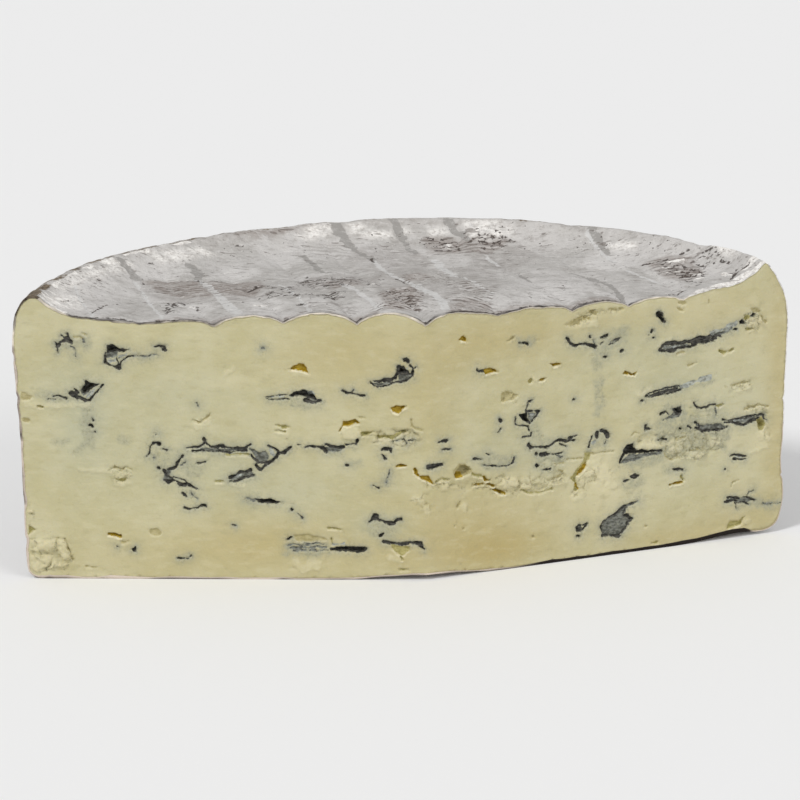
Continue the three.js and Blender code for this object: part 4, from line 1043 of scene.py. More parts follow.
# The kinds of marks on the top, in the same order of values as MARK_KINDS
TOP_KINDS = [
    ("shady", SHADY, 1.0, 0.0, 0, 0),
    ("bright", BRIGHT, 1.2, 0.0, 0, 0),
    ("brown", BROWN, 1.0, 0.0, 0, 0),
    ("strip", GROOVE_HIGHLIGHTS, 0.3, 0.2, 0, 0),
    ("band", GROOVE_SHADE_BANDS, 0.4, 0.25, 0, 0),
    ("pale", SOFT_WHITE, 1.3, -0.25, 0, 0),
    ("white", WHITE, 0.7, -0.3, 0, 0),
    ("dashed", DASHED, 2.0, 0.0, 0, 0),
    ("crust", CRUSTED, 0.5, -0.4, 0, 0),
    ("crease", CREASES, 0.3, 0.5, 0, 0),
]
WRINKLE_SPACING = 2.2
WRINKLE_HEIGHT = 0.22
TINT_KINDS = [("warm", WARM_TINTS), ("cool", COOL_TINTS), ("light", PAINTED_LIGHT_TINTS)]
# Grids of the cut faces: their spacing, and from which to which distance from a mark's edge
FACE_GRIDS = [(0.8, 1.3, 999), (0.42, 0.4, 1.3), (0.23, -999, 0.4)]
# Crumbs count as this far from an edge, so that the middle grid covers them
CRUMB_GRID = 0.41
# Strokes are drawn this much wider than their half width, and uneven by this share
STROKE_SWELL = 1.35
STROKE_UNEVENNESS = 0.7
# Flakes of torn paste are this much wider than high, and the gap between two is this narrow
FLAKE_WIDTH = 1.35
FLAKE_GAP = (0.02, 0.2)


def segment_distance(u, z, start, end):
    """Distance from each place to a straight line between two points."""
    along_u, along_z = end[0] - start[0], end[1] - start[1]
    length = along_u ** 2 + along_z ** 2 + 1e-9
    share = np.clip(((u - start[0]) * along_u + (z - start[1]) * along_z) / length, 0, 1)
    return np.hypot(u - start[0] - share * along_u, z - start[1] - share * along_z)


def inside_outline(u, z, points):
    inside = np.zeros(len(u), bool)
    for (u0, z0), (u1, z1) in zip(points, points[1:] + points[:1]):
        if z0 != z1:
            crosses = ((z0 > z) != (z1 > z)) & (u < (u1 - u0) * (z - z0) / (z1 - z0) + u0)
            inside ^= crosses
    return inside


def mark_distance(u, z, half_width, points):
    """Distance outside a mark's edge, below zero inside it."""
    pairs = zip(points, points[1:] if half_width else points[1:] + points[:1])
    distance = np.min([segment_distance(u, z, *pair) for pair in pairs], axis=0)
    if half_width:
        return distance - STROKE_SWELL * half_width * (1 + STROKE_UNEVENNESS * noise(u, z, 1.3, 41))
    return np.where(inside_outline(u, z, points), -distance, distance)


def near_mark(u, z, points):
    """Numbers of the places close enough to a mark to be changed by it."""
    (low_u, low_z), (high_u, high_z) = np.min(points, axis=0), np.max(points, axis=0)
    return np.nonzero((u > low_u - MARK_REACH) & (u < high_u + MARK_REACH)
                      & (z > low_z - MARK_REACH) & (z < high_z + MARK_REACH))[0]


def warped(u, z):
    """Places shifted a little at random, so that the marks' edges are ragged."""
    shift_u = 0.26 * noise(u, z, 1.7, 51) + 0.13 * noise(u, z, 0.6, 52)
    shift_z = 0.2 * noise(u, z, 1.7, 53) + 0.11 * noise(u, z, 0.6, 54)
    return u + shift_u, z + shift_z


def edge_distance(u, z):
    """Distance to the nearest mark's edge."""
    nearest = np.full(len(u), FAR_OFF)
    wu, wz = warped(u, z)
    for _, marks, *_ in MARK_KINDS:
        for half_width, points in marks:
            close = near_mark(u, z, points)
            distance = np.abs(mark_distance(wu[close], wz[close], half_width, points))
            nearest[close] = np.minimum(nearest[close], distance)
    for *_, points in CRUMBS:
        close = near_mark(u, z, points)
        distance = mark_distance(wu[close], wz[close], 0, points)
        nearest[close] = np.minimum(nearest[close], np.maximum(distance, CRUMB_GRID))
    return nearest


def paint_marks(u, z, kinds):
    """Depth and colour strengths of some kinds of marks at each place, among them the painted highlight
    below a mark's lower lip and the painted shade inside its upper edge.
    """
    wu, wz = warped(u, z)
    names = ("stain", "lip", "shade", *[kind[0] for kind in kinds])
    colours = {name: np.zeros(len(u)) for name in names}
    depth = np.zeros(len(u))
    for name, marks, softness, mark_depth, spread, lip in kinds:
        for half_width, points in marks:
            close = near_mark(u, z, points)
            distance = mark_distance(wu[close], wz[close], half_width, points)
            cover = 1 - smooth_step(-softness, softness, distance)
            raise_to(colours[name], close, cover)
            wall = mark_depth * (1 - smooth_step(-0.4, 0.1 + softness, distance))
            deeper = np.abs(wall) > np.abs(depth[close])
            depth[close] = np.where(deeper, wall, depth[close])
            if spread:
                raise_to(colours["stain"], close, np.exp(-np.maximum(distance, 0) / spread))
            # Painted highlight on the lip just below the mark, and painted shade inside its upper edge
            if lip:
                above = mark_distance(wu[close], wz[close] + LIP_SHIFT, half_width, points)
                shifted = 1 - smooth_step(-softness, softness, above)
                raise_to(colours["lip"], close, lip * np.clip(shifted - cover, 0, 1))
                raise_to(colours["shade"], close, np.clip(cover - shifted, 0, 1))
    depth -= LIP_HEIGHT * colours["lip"]
    return depth, colours


def wrinkles(x, y):
    """How strong the wrinkles are at each place on the top, and how far across them it lies."""
    strength, across = np.zeros(len(x)), np.zeros(len(x))
    bend = 1.7 * noise(x, y, 6, 22) + 0.8 * noise(x, y, 2.3, 23)
    for middle, bow, strong, points in WRINKLES:
        close = near_mark(x, y, points)
        distance = mark_distance(x[close], y[close], 0, points)
        share = strong * (1 - smooth_step(-1.8, 1.2, distance + 1.2 * bend[close]))
        better = share > strength[close]
        lines = (y[close] + bend[close] + bow * (x[close] - middle) ** 2) / WRINKLE_SPACING
        strength[close] = np.where(better, share, strength[close])
        across[close] = np.where(better, lines, across[close])
    return strength, across


def raise_to(values, places, least):
    values[places] = np.maximum(values[places], least)


def paint_face(u, z):
    """Depth below the cut plane, and how strongly each kind of mark colours each place."""
    depth, colours = paint_marks(u, z, MARK_KINDS)
    for name, tints in TINT_KINDS:
        tint = np.zeros(len(u))
        for centre_u, centre_z, wide, high, strength in tints:
            reach = ((u - centre_u) / wide) ** 2 + ((z - centre_z) / high) ** 2
            tint += strength * np.exp(-reach)
        colours[name] = tint
    # The gaps between the crumbs are painted darker, as painted shade
    torn, colours["gap"] = crumb_relief(u, z)
    return depth + torn + face_relief(u, z), colours


def broken_flakes(u, z, size, seed):
    """Tilted angular flakes side by side: their height, and how near the gap between two is."""
    gu, gz = u / (FLAKE_WIDTH * size), z / size
    iu, iz = np.floor(gu), np.floor(gz)
    nearest, second, height = np.full(len(u), FAR_OFF), np.full(len(u), FAR_OFF), np.zeros(len(u))
    for du in (-1, 0, 1):
        for dz in (-1, 0, 1):
            cu, cz = iu + du, iz + dz
            off_u, off_z = gu - cu - lattice(cu, cz, seed), gz - cz - lattice(cu, cz, seed + 1)
            distance = np.hypot(off_u, off_z)
            tilt = off_u * (lattice(cu, cz, seed + 2) - 0.5) + off_z * (lattice(cu, cz, seed + 3) - 0.2)
            closer = distance < nearest
            second = np.where(closer, nearest, np.minimum(second, distance))
            height = np.where(closer, lattice(cu, cz, seed + 4) + 0.9 * tilt, height)
            nearest = np.where(closer, distance, nearest)
    return height, 1 - smooth_step(*FLAKE_GAP, second - nearest)


def crumb_relief(u, z):
    """Depth of the torn, crumbly places, and the painted shade in the gaps between the crumbs."""
    depth, crevice_shade = np.zeros(len(u)), np.zeros(len(u))
    wu = u + 0.8 * noise(u, z, 2.1, 55) + 0.3 * noise(u, z, 0.9, 58)
    wz = z + 0.7 * noise(u, z, 2.1, 56) + 0.3 * noise(u, z, 0.9, 60)
    for size, rise, crevice_shade_strength, points in CRUMBS:
        close = near_mark(u, z, points)
        cu, cz = wu[close], wz[close]
        inside = 1 - smooth_step(-0.5, 0.3, mark_distance(cu, cz, 0, points))
        height, gap = broken_flakes(cu, cz, size, 57)
        fine, fine_gap = broken_flakes(cu, cz, size / 2.4, 67)
        depth[close] += inside * rise * (0.9 - 1.2 * height - 0.4 * fine + 0.5 * gap + 0.15 * fine_gap)
        gap = np.maximum(gap * smooth_step(-0.5, 0.3, noise(cu, cz, 3, 59)), 0.4 * fine_gap)
        raise_to(crevice_shade, close, inside * gap * crevice_shade_strength)
    return depth, crevice_shade


def face_relief(u, z):
    """Unevenness of the cut: soft swells, torn crumbs and small pits."""
    swells = 0.22 * noise(u, z, 11, 61) + 0.12 * noise(u, z, 4.3, 62)
    torn = smooth_step(0.1, 0.7, noise(u, z, 9, 63)) * 0.16 * np.abs(noise(u, z, 1.5, 64))
    pits = 0.25 * smooth_step(0.72, 0.9, noise(u, z, 1.4, 65))
    return 0.25 + swells + torn + pits


# ---------------------------------------------------------------- meshes

TOP_SPACING = 0.52
AROUND_STEPS = 300
SIDE_SPACING = 0.95
# Steps along a cut's top from the axis to the rim, and up the axis
TOP_STEPS = 190
AXIS_STEPS = 180
UNDER_SHARES = np.linspace(1, 0, 27)
# The cut faces lie this far below the rind's cut edge, and come up to that within a short way
FACE_EDGE_DEPTH = 0.12
FACE_EDGE_FADE = 1.5
# Half the width and the height that the flat map holds, the top's own reach, and the map's margin
MAP_REACH, MAP_HEIGHT, TOP_REACH, MAP_MARGIN = 104, 74, 98, 0.005
# Where the side, the rind's two cut edges and the hidden skins lie on the flat map
SIDE_MAP = (0.51, 0.245)
RIGHT_EDGE_MAP, LEFT_EDGE_MAP = 0.02, 0.05
PASTE_HIDDEN_MAP = (0.91, 0.01, 0.99, 0.99)
RIND_HIDDEN_MAP = (0.48, 0.08, 0.98, 0.22)
BAKE_MAP = "OFBake"
# Vertices closer than this, in metres, are one
WELD_DISTANCE = 1e-5
# The hidden skin: its rows, how far behind the cuts it starts, how much smaller it is than the
# piece, the height it shrinks towards, and how far back it lies, all out of sight
HIDDEN_STATIONS = 15
HIDDEN_GAP, HIDDEN_INSET = 1.2, 0.25
HIDDEN_RADIUS_SHARE, HIDDEN_HEIGHT_SHARE, HIDDEN_MIDDLE = 0.93, 0.8, 35
BACK_SHIFT = 1.6


class Patch:
    """A sheet of a closed piece: vertices in mm, faces, and where it lies on the flat map."""

    def __init__(self, vertices, faces, flat, colours=None):
        self.vertices = np.asarray(vertices, float)
        self.faces = faces
        self.flat = np.asarray(flat, float)
        self.colours = colours or {}


def grid_faces(rows, columns):
    faces = []
    for row in range(rows - 1):
        for column in range(columns - 1):
            corner = row * columns + column
            faces.append((corner, corner + 1, corner + columns + 1, corner + columns))
    return faces


def to_space(radius, angle, height):
    """Places around the wheel's axis, still in mm, in the shared frame."""
    x = radius * np.cos(angle) + AXIS_X
    y = radius * np.sin(angle) + AXIS_Y
    return np.stack(np.broadcast_arrays(x, y, height), axis=-1)


def jittered_grid(low_u, high_u, low_z, high_z, spacing, seed):
    """Staggered rows of slightly moved places."""
    rows = np.arange(low_z, high_z, spacing * 0.87)
    columns = np.arange(low_u, high_u, spacing)
    u, z = np.meshgrid(columns, rows)
    u = u + (np.arange(len(rows)) % 2)[:, None] * spacing / 2
    random = np.random.default_rng(seed)
    shift = random.uniform(-0.22, 0.22, (2, *u.shape)) * spacing
    return (u + shift[0]).ravel(), (z + shift[1]).ravel()


def triangulate(outline, inner, extra_edges=()):
    """Triangles inside a closed outline that use every inner place."""
    count = len(outline)
    places = [Vector((float(a), float(b))) for a, b in np.concatenate([outline, inner])]
    edges = [(i, (i + 1) % count) for i in range(count)] + list(extra_edges)
    result = delaunay_2d_cdt(places, edges, [], 1, 1e-6)
    return np.array([tuple(place) for place in result[0]]), [tuple(face) for face in result[2]]


def side_places():
    """Place numbers down the side from rim to foot, about evenly spaced along it."""
    outer = WHOLE_CURVE[:, WHOLE_CURVE[0] <= RIM_PLACE]
    lengths = np.concatenate([[0], np.cumsum(np.hypot(np.diff(outer[1]), np.diff(outer[2])))])
    count = int(lengths[-1] / SIDE_SPACING)
    return np.interp(np.linspace(lengths[-1], 0, count), lengths, outer[0])


def cut_outline(angle):
    """Radius and height along one cut's edge: top from the axis out, side down, underside in."""
    top = np.linspace(0, 1, TOP_STEPS) * crest_radius(angle)
    side_radius, side_height = side_place(side_places()[1:], angle)
    under = UNDER_SHARES[1:] * side_radius[-1]
    radius = np.concatenate([top, side_radius, under])
    height = np.concatenate([top_height(top, angle), side_height, under_height(under, angle)])
    return np.stack([radius, height], axis=1)


def moved_in(outline, amount):
    """The outline moved in by an amount; its ends stay on the axis."""
    along = np.gradient(outline, axis=0)
    across = np.stack([along[:, 1], -along[:, 0]], axis=1)
    across /= np.linalg.norm(across, axis=1)[:, None]
    across[0], across[-1] = (0, -1), (0, 1)
    return outline + across * np.reshape(amount, (-1, 1))


def rind_thickness(outline, side):
    """Thickness of the rind along a cut's outline; side is -1 on the left and 1 on the right."""
    radius, height = outline.T
    side_rind = LEFT_SIDE_RIND if side < 0 else RIGHT_SIDE_RIND
    under = np.interp(side * radius, *np.array(UNDER_RIND).T)
    on_side = smooth_step(*SIDE_RADII, radius)
    top = np.interp(side * radius, *np.array(TOP_RIND).T)
    thickness = lerp(np.where(height > TOP_ABOVE, top, under), side_rind, on_side)
    along = radius - height
    even = smooth_step(30, 60, side * radius) * (height < TOP_ABOVE) * 0.7
    uneven = 0.35 * line_noise(along, 3.5, 71 + side) + 0.35 * line_noise(along, 1.1, 75 + side)
    return thickness * (1 + (1 - even) * uneven)


def edge_darkness(outline, side):
    """How dark the rind's cut edge is along a cut's outline, from 0 to 1. Along the right face's foot it is
    solid dark, a painted shadow standing in for the shadow gap under the wedge.
    """
    radius, height = outline.T
    u = side * radius
    top = np.interp(u, *np.array(TOP_EDGE_DARKNESS).T)
    broken = 0.8 * smooth_step(-0.1, 0.15, line_noise(u, 6, 72))
    # Painted shadow along the right face's foot
    foot_shadow = smooth_step(14, 22, u) * (height < TOP_ABOVE)
    under = np.maximum(1.2 * foot_shadow, broken) * (1 - smooth_step(93, 95, u))
    flecks = (1 - foot_shadow) * (0.3 * noise(radius, height, 1.7, 73) + 0.2 * noise(radius, height, 0.7, 74))
    beside = 0.1 + 0.5 * (side < 0) * smooth_step(0.1, 0.3, line_noise(height, 3.4, 79))
    on_side = smooth_step(*SIDE_RADII, radius)
    return np.clip(lerp(np.where(height > TOP_ABOVE, top, under), beside, on_side) + flecks, 0, 1)


def hidden_skin(right, left, front_depth, map_box):
    """The coarse surface, out of sight, that joins two outlines of one closed piece."""
    inner_right, inner_left = moved_in(right, HIDDEN_INSET), moved_in(left, HIDDEN_INSET)
    rows = [face_to_space(right[:, 0], right[:, 1], front_depth),
            face_to_space(inner_right[:, 0], inner_right[:, 1], HIDDEN_GAP)]
    middle = face_direction(np.zeros(1))[0] * BACK_SHIFT
    for share in np.linspace(0.03, 0.97, HIDDEN_STATIONS):
        line = lerp(inner_right, inner_left, share)
        row = to_space(line[:, 0] * HIDDEN_RADIUS_SHARE, lerp(RIGHT_CUT, LEFT_CUT, share),
                       HIDDEN_MIDDLE + (line[:, 1] - HIDDEN_MIDDLE) * HIDDEN_HEIGHT_SHARE)
        row[:, :2] += middle
        rows.append(row)
    rows += [face_to_space(-inner_left[:, 0], inner_left[:, 1], HIDDEN_GAP),
             face_to_space(-left[:, 0], left[:, 1], front_depth)]
    columns = len(right)
    u, v = np.meshgrid(np.linspace(map_box[0], map_box[2], columns),
                       np.linspace(map_box[1], map_box[3], len(rows)))
    flat = np.stack([u.ravel(), v.ravel()], axis=1)
    marks = {}
    for side, outline, row in ((1, right, 0), (-1, left, -1)):
        for name, values in edge_marks(outline, side).items():
            marks.setdefault(name, np.zeros((len(rows), columns)))[row] = values[columns:]
    marks = {name: values.ravel() for name, values in marks.items()}
    return Patch(np.concatenate(rows), grid_faces(len(rows), columns), flat, marks)


def face_direction(u):
    """Which way is in, at a distance along the two cut faces."""
    share = smooth_step(-2, 2, u)[:, None]
    left, right = np.array([0, 1]), np.array([-math.sin(RIGHT_CUT), math.cos(RIGHT_CUT)])
    mixed = lerp(left, right, share)
    return mixed / np.linalg.norm(mixed, axis=1)[:, None]


def face_to_space(u, z, depth):
    """Places on the cut faces, a depth below them, in the shared frame."""
    angle = np.where(u < 0, LEFT_CUT, RIGHT_CUT)
    places = to_space(np.abs(u), angle, z)
    places[:, :2] += face_direction(u) * np.reshape(depth, (-1, 1))
    return places


def inside_face(u, z, outline_right, outline_left, margin):
    """Whether places lie within the cut faces' outline, at least a margin from it."""
    inside = np.zeros(len(u), bool)
    for outline, side in ((outline_right, u >= 0), (outline_left, u < 0)):
        radius, height = outline.T
        crest, lowest = np.argmax(height), np.argmin(height[:-3])
        top = np.interp(np.abs(u), radius[:crest + 1], height[:crest + 1])
        out = slice(crest, lowest + 1)
        edge = np.interp(z, height[out][::-1], radius[out][::-1])
        under = np.interp(np.abs(u), radius[lowest:][::-1], height[lowest:][::-1])
        within = (z < top - margin * 1.3) & (np.abs(u) < edge - margin) & (z > under + margin)
        inside |= side & within & (np.abs(u) > margin)
    return inside


def cut_face_patch(right, left):
    """Both cut faces of the paste as one sheet, finer where there are marks."""
    outline = np.concatenate([right, (left * [-1, 1])[-2:0:-1]])
    heights = np.linspace(right[-1, 1], right[0, 1], AXIS_STEPS + 2)[1:-1]
    axis = np.stack([np.zeros(AXIS_STEPS), heights], axis=1)
    inner = [axis]
    for number, (spacing, nearest, farthest) in enumerate(FACE_GRIDS):
        u, z = jittered_grid(-MAP_REACH, MAP_REACH, 0, MAP_HEIGHT, spacing, 80 + number)
        keep = inside_face(u, z, right, left, max(0.5 * spacing, 0.22))
        u, z = u[keep], z[keep]
        distance = edge_distance(u, z)
        keep = (distance >= nearest) & (distance < farthest)
        inner.append(np.stack([u[keep], z[keep]], axis=1))
    first = len(outline)
    corner_low, corner_high = len(right) - 1, 0
    column = [corner_low, *range(first, first + len(axis)), corner_high]
    places, faces = triangulate(outline, np.concatenate(inner), list(zip(column, column[1:])))
    u, z = places.T
    depth, colours = paint_face(u, z)
    depth += 0.3 * np.exp(-np.abs(u) / 0.8)
    depth = lerp(depth, FACE_EDGE_DEPTH, edge_share(u, z, outline))
    return Patch(face_to_space(u, z, depth), faces, face_map(u, z), colours)


def edge_share(u, z, outline):
    """1 at the faces' outline, fading to 0 a short way in."""
    share = np.zeros(len(u))
    share[:len(outline)] = 1
    for start in range(0, len(outline), 4):
        piece = outline[np.arange(start, start + 5) % len(outline)]
        low, high = piece.min(axis=0) - FACE_EDGE_FADE, piece.max(axis=0) + FACE_EDGE_FADE
        close = np.nonzero((u > low[0]) & (u < high[0]) & (z > low[1]) & (z < high[1]))[0]
        distance = np.min([segment_distance(u[close], z[close], *pair)
                           for pair in zip(piece, piece[1:])], axis=0)
        share[close] = np.maximum(share[close], 1 - smooth_step(0, FACE_EDGE_FADE, distance))
    return share


def face_map(u, z):
    """The left face above, the right face below, so both are large on the flat map."""
    across = np.abs(u) / MAP_REACH * 0.89 + MAP_MARGIN
    up = z / MAP_HEIGHT * 0.485 + MAP_MARGIN
    return np.stack([across, np.where(u < 0, up + 0.5, up)], axis=1)


def split_at_axis(patch):
    """Gives the vertices on the axis one copy for each face, as the flat map needs."""
    on_axis = np.abs(patch.flat[:, 0] - MAP_MARGIN) < 1e-7
    copies = {}
    vertices, flat = list(patch.vertices), list(patch.flat)
    colours = {name: list(values) for name, values in patch.colours.items()}
    faces = []
    for face in patch.faces:
        left = max(patch.flat[i][1] for i in face if not on_axis[i]) > 0.5
        renamed = []
        for i in face:
            if left and on_axis[i]:
                if i not in copies:
                    copies[i] = len(vertices)
                    vertices.append(patch.vertices[i])
                    flat.append(patch.flat[i] + [0, 0.5])
                    for name in colours:
                        colours[name].append(patch.colours[name][i])
                renamed.append(copies[i])
            else:
                renamed.append(i)
        faces.append(renamed)
    return Patch(vertices, faces, flat, colours)


def make_piece(name, patches):
    """Joins patches whose edges meet into one closed mesh."""
    names = sorted({key for patch in patches for key in patch.colours})
    vertices = np.concatenate([patch.vertices for patch in patches]) * MM
    flat = np.concatenate([patch.flat for patch in patches])
    faces, first = [], 0
    for patch in patches:
        faces += [tuple(first + i for i in face) for face in patch.faces]
        first += len(patch.vertices)
    mesh = bpy.data.meshes.new(name)
    mesh.from_pydata(vertices.tolist(), [], faces)
    corners = np.zeros(len(mesh.loops), int)
    mesh.loops.foreach_get("vertex_index", corners)
    layer = mesh.uv_layers.new(name=BAKE_MAP)
    layer.data.foreach_set("uv", flat[corners].astype(np.float32).ravel())
    for key in names:
        values = [patch.colours.get(key, np.zeros(len(patch.vertices))) for patch in patches]
        attribute = mesh.attributes.new(key, "FLOAT", "CORNER")
        attribute.data.foreach_set("value", np.concatenate(values)[corners].astype(np.float32))
    close_mesh(mesh)
    piece = bpy.data.objects.new(name, mesh)
    bpy.context.scene.collection.objects.link(piece)
    return piece


def close_mesh(mesh):
    shape = bmesh.new()
    shape.from_mesh(mesh)
    bmesh.ops.remove_doubles(shape, verts=shape.verts, dist=WELD_DISTANCE)
    bmesh.ops.recalc_face_normals(shape, faces=shape.faces)
    for face in shape.faces:
        face.smooth = True
    shape.to_mesh(mesh)
    shape.free()


def cut_darkness(x, y):
    """The dark line on the top close to the two cuts: the rind's brown line, with painted shade where the
    grooves notch the edge.
    """
    u = np.hypot(x, y) * np.where(np.arctan2(y, x) > (RIGHT_CUT + LEFT_CUT) / 2, -1, 1)
    dark = np.interp(u, *np.array(TOP_EDGE_DARKNESS).T) + 0.4 * noise(x, y, 1.7, 73)
    return np.clip(dark, 0, 1) * (1 - smooth_step(0.3, 1.3, cut_gap(x, y) + 0.5 * noise(x, y, 2.3, 77)))


def top_patch(angles):
    """The top inside the rim's crest, seen from above and triangulated."""
    crest = crest_radius(angles)
    ring = np.stack([crest * np.cos(angles), crest * np.sin(angles)], axis=1)
    shares = np.linspace(0, 1, TOP_STEPS)
    right, left = shares * crest[0], shares * crest[-1]
    right_edge = np.stack([right * math.cos(RIGHT_CUT), right * math.sin(RIGHT_CUT)], axis=1)
    left_edge = np.stack([-left, left * 0], axis=1)
    outline = np.concatenate([right_edge, ring[1:-1], left_edge[:0:-1]])
    x, y = jittered_grid(-TOP_REACH, TOP_REACH, 0, TOP_REACH, TOP_SPACING, 90)
    angle, radius = np.arctan2(y, x), np.hypot(x, y)
    gap_right = x * -math.sin(RIGHT_CUT) + y * math.cos(RIGHT_CUT)
    inside = (radius < crest_radius(angle) - 0.35) & (y > 0.28) & (gap_right > 0.28)
    places, faces = triangulate(outline, np.stack([x[inside], y[inside]], axis=1))
    x, y = places.T
    angle, radius = np.clip(np.arctan2(y, x), RIGHT_CUT, LEFT_CUT), np.hypot(x, y)
    depth, marks = paint_marks(x, y, TOP_KINDS)
    marks["wrinkled"], marks["across"] = wrinkles(x, y)
    marks["rim"] = smooth_step(82, 96, radius)
    marks["dark_edge"] = cut_darkness(x, y)
    relief = depth + WRINKLE_HEIGHT * marks["wrinkled"] * np.sin(2 * np.pi * marks["across"])
    inside = smooth_step(0, 1.2, cut_gap(x, y)) * (1 - smooth_step(93, 96, radius))
    height = top_height(radius, angle) - relief * inside
    flat = np.stack([(x + MAP_REACH) / (2 * MAP_REACH) * 0.99 + MAP_MARGIN,
                     y / TOP_REACH * 0.47 + 0.525], axis=1)
    return Patch(to_space(radius, angle, height), faces, flat, marks)


def side_patch(angles):
    """The side from the rim's crest down to the foot, with its crust and bloom."""
    places = side_places()
    angle, place = np.meshgrid(angles, places)
    radius, height = side_place(place, angle)
    radius[0] = crest_radius(angles)
    height[0] = top_height(radius[0], angles)
    u, v = np.meshgrid(np.linspace(MAP_MARGIN, 1 - MAP_MARGIN, len(angles)),
                       np.linspace(*SIDE_MAP, len(places)))
    flat = np.stack([u.ravel(), v.ravel()], axis=1)
    around = angle * WHEEL_RADIUS
    blotches = smooth_step(0.0, 0.5, rough_noise(around, height, 6, 33))
    shoulder = smooth_step(2.6, 2.95, angle) * smooth_step(52, 66, height)
    lumps = smooth_step(-0.1, 0.4, rough_noise(around, height, 4, 43))
    below_rim = 0.55 * smooth_step(62, 71, height) * (1 - smooth_step(72.2, 72.9, height))
    crust = np.maximum(below_rim * blotches, 0.35 * shoulder * lumps).ravel()
    x, y = (radius * np.cos(angle)).ravel(), (radius * np.sin(angle)).ravel()
    _, rim_marks = paint_marks(x, y, [("crust", CRUSTED, 0.5, 0, 0, 0)])
    crust = np.maximum(crust, rim_marks["crust"] * smooth_step(67, 71.5, height).ravel())
    bloom = 0.55 * smooth_step(0, 0.6, rough_noise(around, 1.6 * height, 13, 44))
    worn = smooth_step(0, 0.6, rough_noise(around, 1.4 * height, 15, 47))
    marks = {"rim": smooth_step(60, 72, height).ravel(), "crust": crust,
             "pale": bloom.ravel(), "shady": worn.ravel()}
    vertices = to_space(radius, angle, height).reshape(-1, 3)
    return Patch(vertices, grid_faces(len(places), len(angles)), flat, marks)


def under_patch(angles):
    """The underside from the foot in to the axis."""
    foot, _ = side_place(np.zeros(len(angles)), angles)
    rows = UNDER_SHARES[:, None] * foot
    angle = np.broadcast_to(angles, rows.shape)
    height = under_height(rows, angle)
    height[0] = side_place(np.zeros(len(angles)), angles)[1]
    x, y = rows * np.cos(angle), rows * np.sin(angle)
    flat = np.stack([(x + MAP_REACH) / (2 * MAP_REACH) * 0.45 + MAP_MARGIN,
                     y / MAP_REACH * 0.22 + 0.01], axis=-1).reshape(-1, 2)
    under = {"under": np.ones(rows.size)}
    return Patch(to_space(rows, angle, height).reshape(-1, 3), grid_faces(*rows.shape), flat, under)


def edge_marks(outline, side):
    """Colours of the rind's cut edge: the outer and the inner outline, one after the other."""
    dark = edge_darkness(outline, side)
    u, on_top = side * outline[:, 0], outline[:, 1] > TOP_ABOVE
    # The inner line darkens along the right face's foot as part of the painted shadow
    shadowed_foot = smooth_step(18, 32, u)
    white = smooth_step(72, 75, u) * on_top
    crust = 1 - smooth_step(-97, -95, u + 0.6 * noise(u, outline[:, 1], 1.1, 78)) * on_top
    crust = crust * (outline[:, 1] > 68)
    inner_dark = dark * np.where(on_top, lerp(0.7, 0.1, smooth_step(-56, -50, u)), lerp(0.15, 1, shadowed_foot))
    return {"edge": np.tile((1 - white) * (1 - crust), 2), "white": np.tile(white, 2),
            "under": np.tile(1.0 * (outline[:, 1] < BROWN_EDGE_BELOW), 2),
            "crust": np.tile(crust, 2), "dark_edge": np.concatenate([dark, inner_dark])}


def rim_strip(outer, inner, side, map_low):
    """The rind's own cut edge: the narrow band between its outer and inner outline."""
    vertices = np.concatenate([face_to_space(side * line[:, 0], line[:, 1], 0) for line in (outer, inner)])
    u = np.tile(np.linspace(0.48, 0.98, len(outer)), 2)
    v = np.repeat([map_low, map_low + 0.02], len(outer))
    flat = np.stack([u, v], axis=1)
    return Patch(vertices, grid_faces(2, len(outer)), flat, edge_marks(outer, side))


def inner_outlines(share):
    """Both cuts' outlines moved in by a share of the rind's thickness, meeting on the axis."""
    outlines = [(cut_outline(RIGHT_CUT), 1), (cut_outline(LEFT_CUT), -1)]
    right, left = [moved_in(line, share * rind_thickness(line, side)) for line, side in outlines]
    right[[0, -1]] = left[[0, -1]] = (right[[0, -1]] + left[[0, -1]]) / 2
    return right, left


def build_paste():
    right, left = inner_outlines(0.6)
    front = split_at_axis(cut_face_patch(right, left))
    back = hidden_skin(right, left, FACE_EDGE_DEPTH, PASTE_HIDDEN_MAP)
    return make_piece("paste", [front, back])


def build_rind():
    angles = np.linspace(RIGHT_CUT, LEFT_CUT, AROUND_STEPS)
    right, left = cut_outline(RIGHT_CUT), cut_outline(LEFT_CUT)
    inner_right, inner_left = inner_outlines(1)
    return make_piece("rind", [
        top_patch(angles), side_patch(angles), under_patch(angles),
        rim_strip(right, inner_right, 1, RIGHT_EDGE_MAP), rim_strip(left, inner_left, -1, LEFT_EDGE_MAP),
        hidden_skin(inner_right, inner_left, 0, RIND_HIDDEN_MAP),
    ])


# ---------------------------------------------------------------- materials


def linear(red, green, blue):
    """A colour given as 0 to 255, as the shader needs it."""
    parts = [value / 255 for value in (red, green, blue)]
    return (*[p / 12.92 if p <= 0.04045 else ((p + 0.055) / 1.055) ** 2.4 for p in parts], 1)


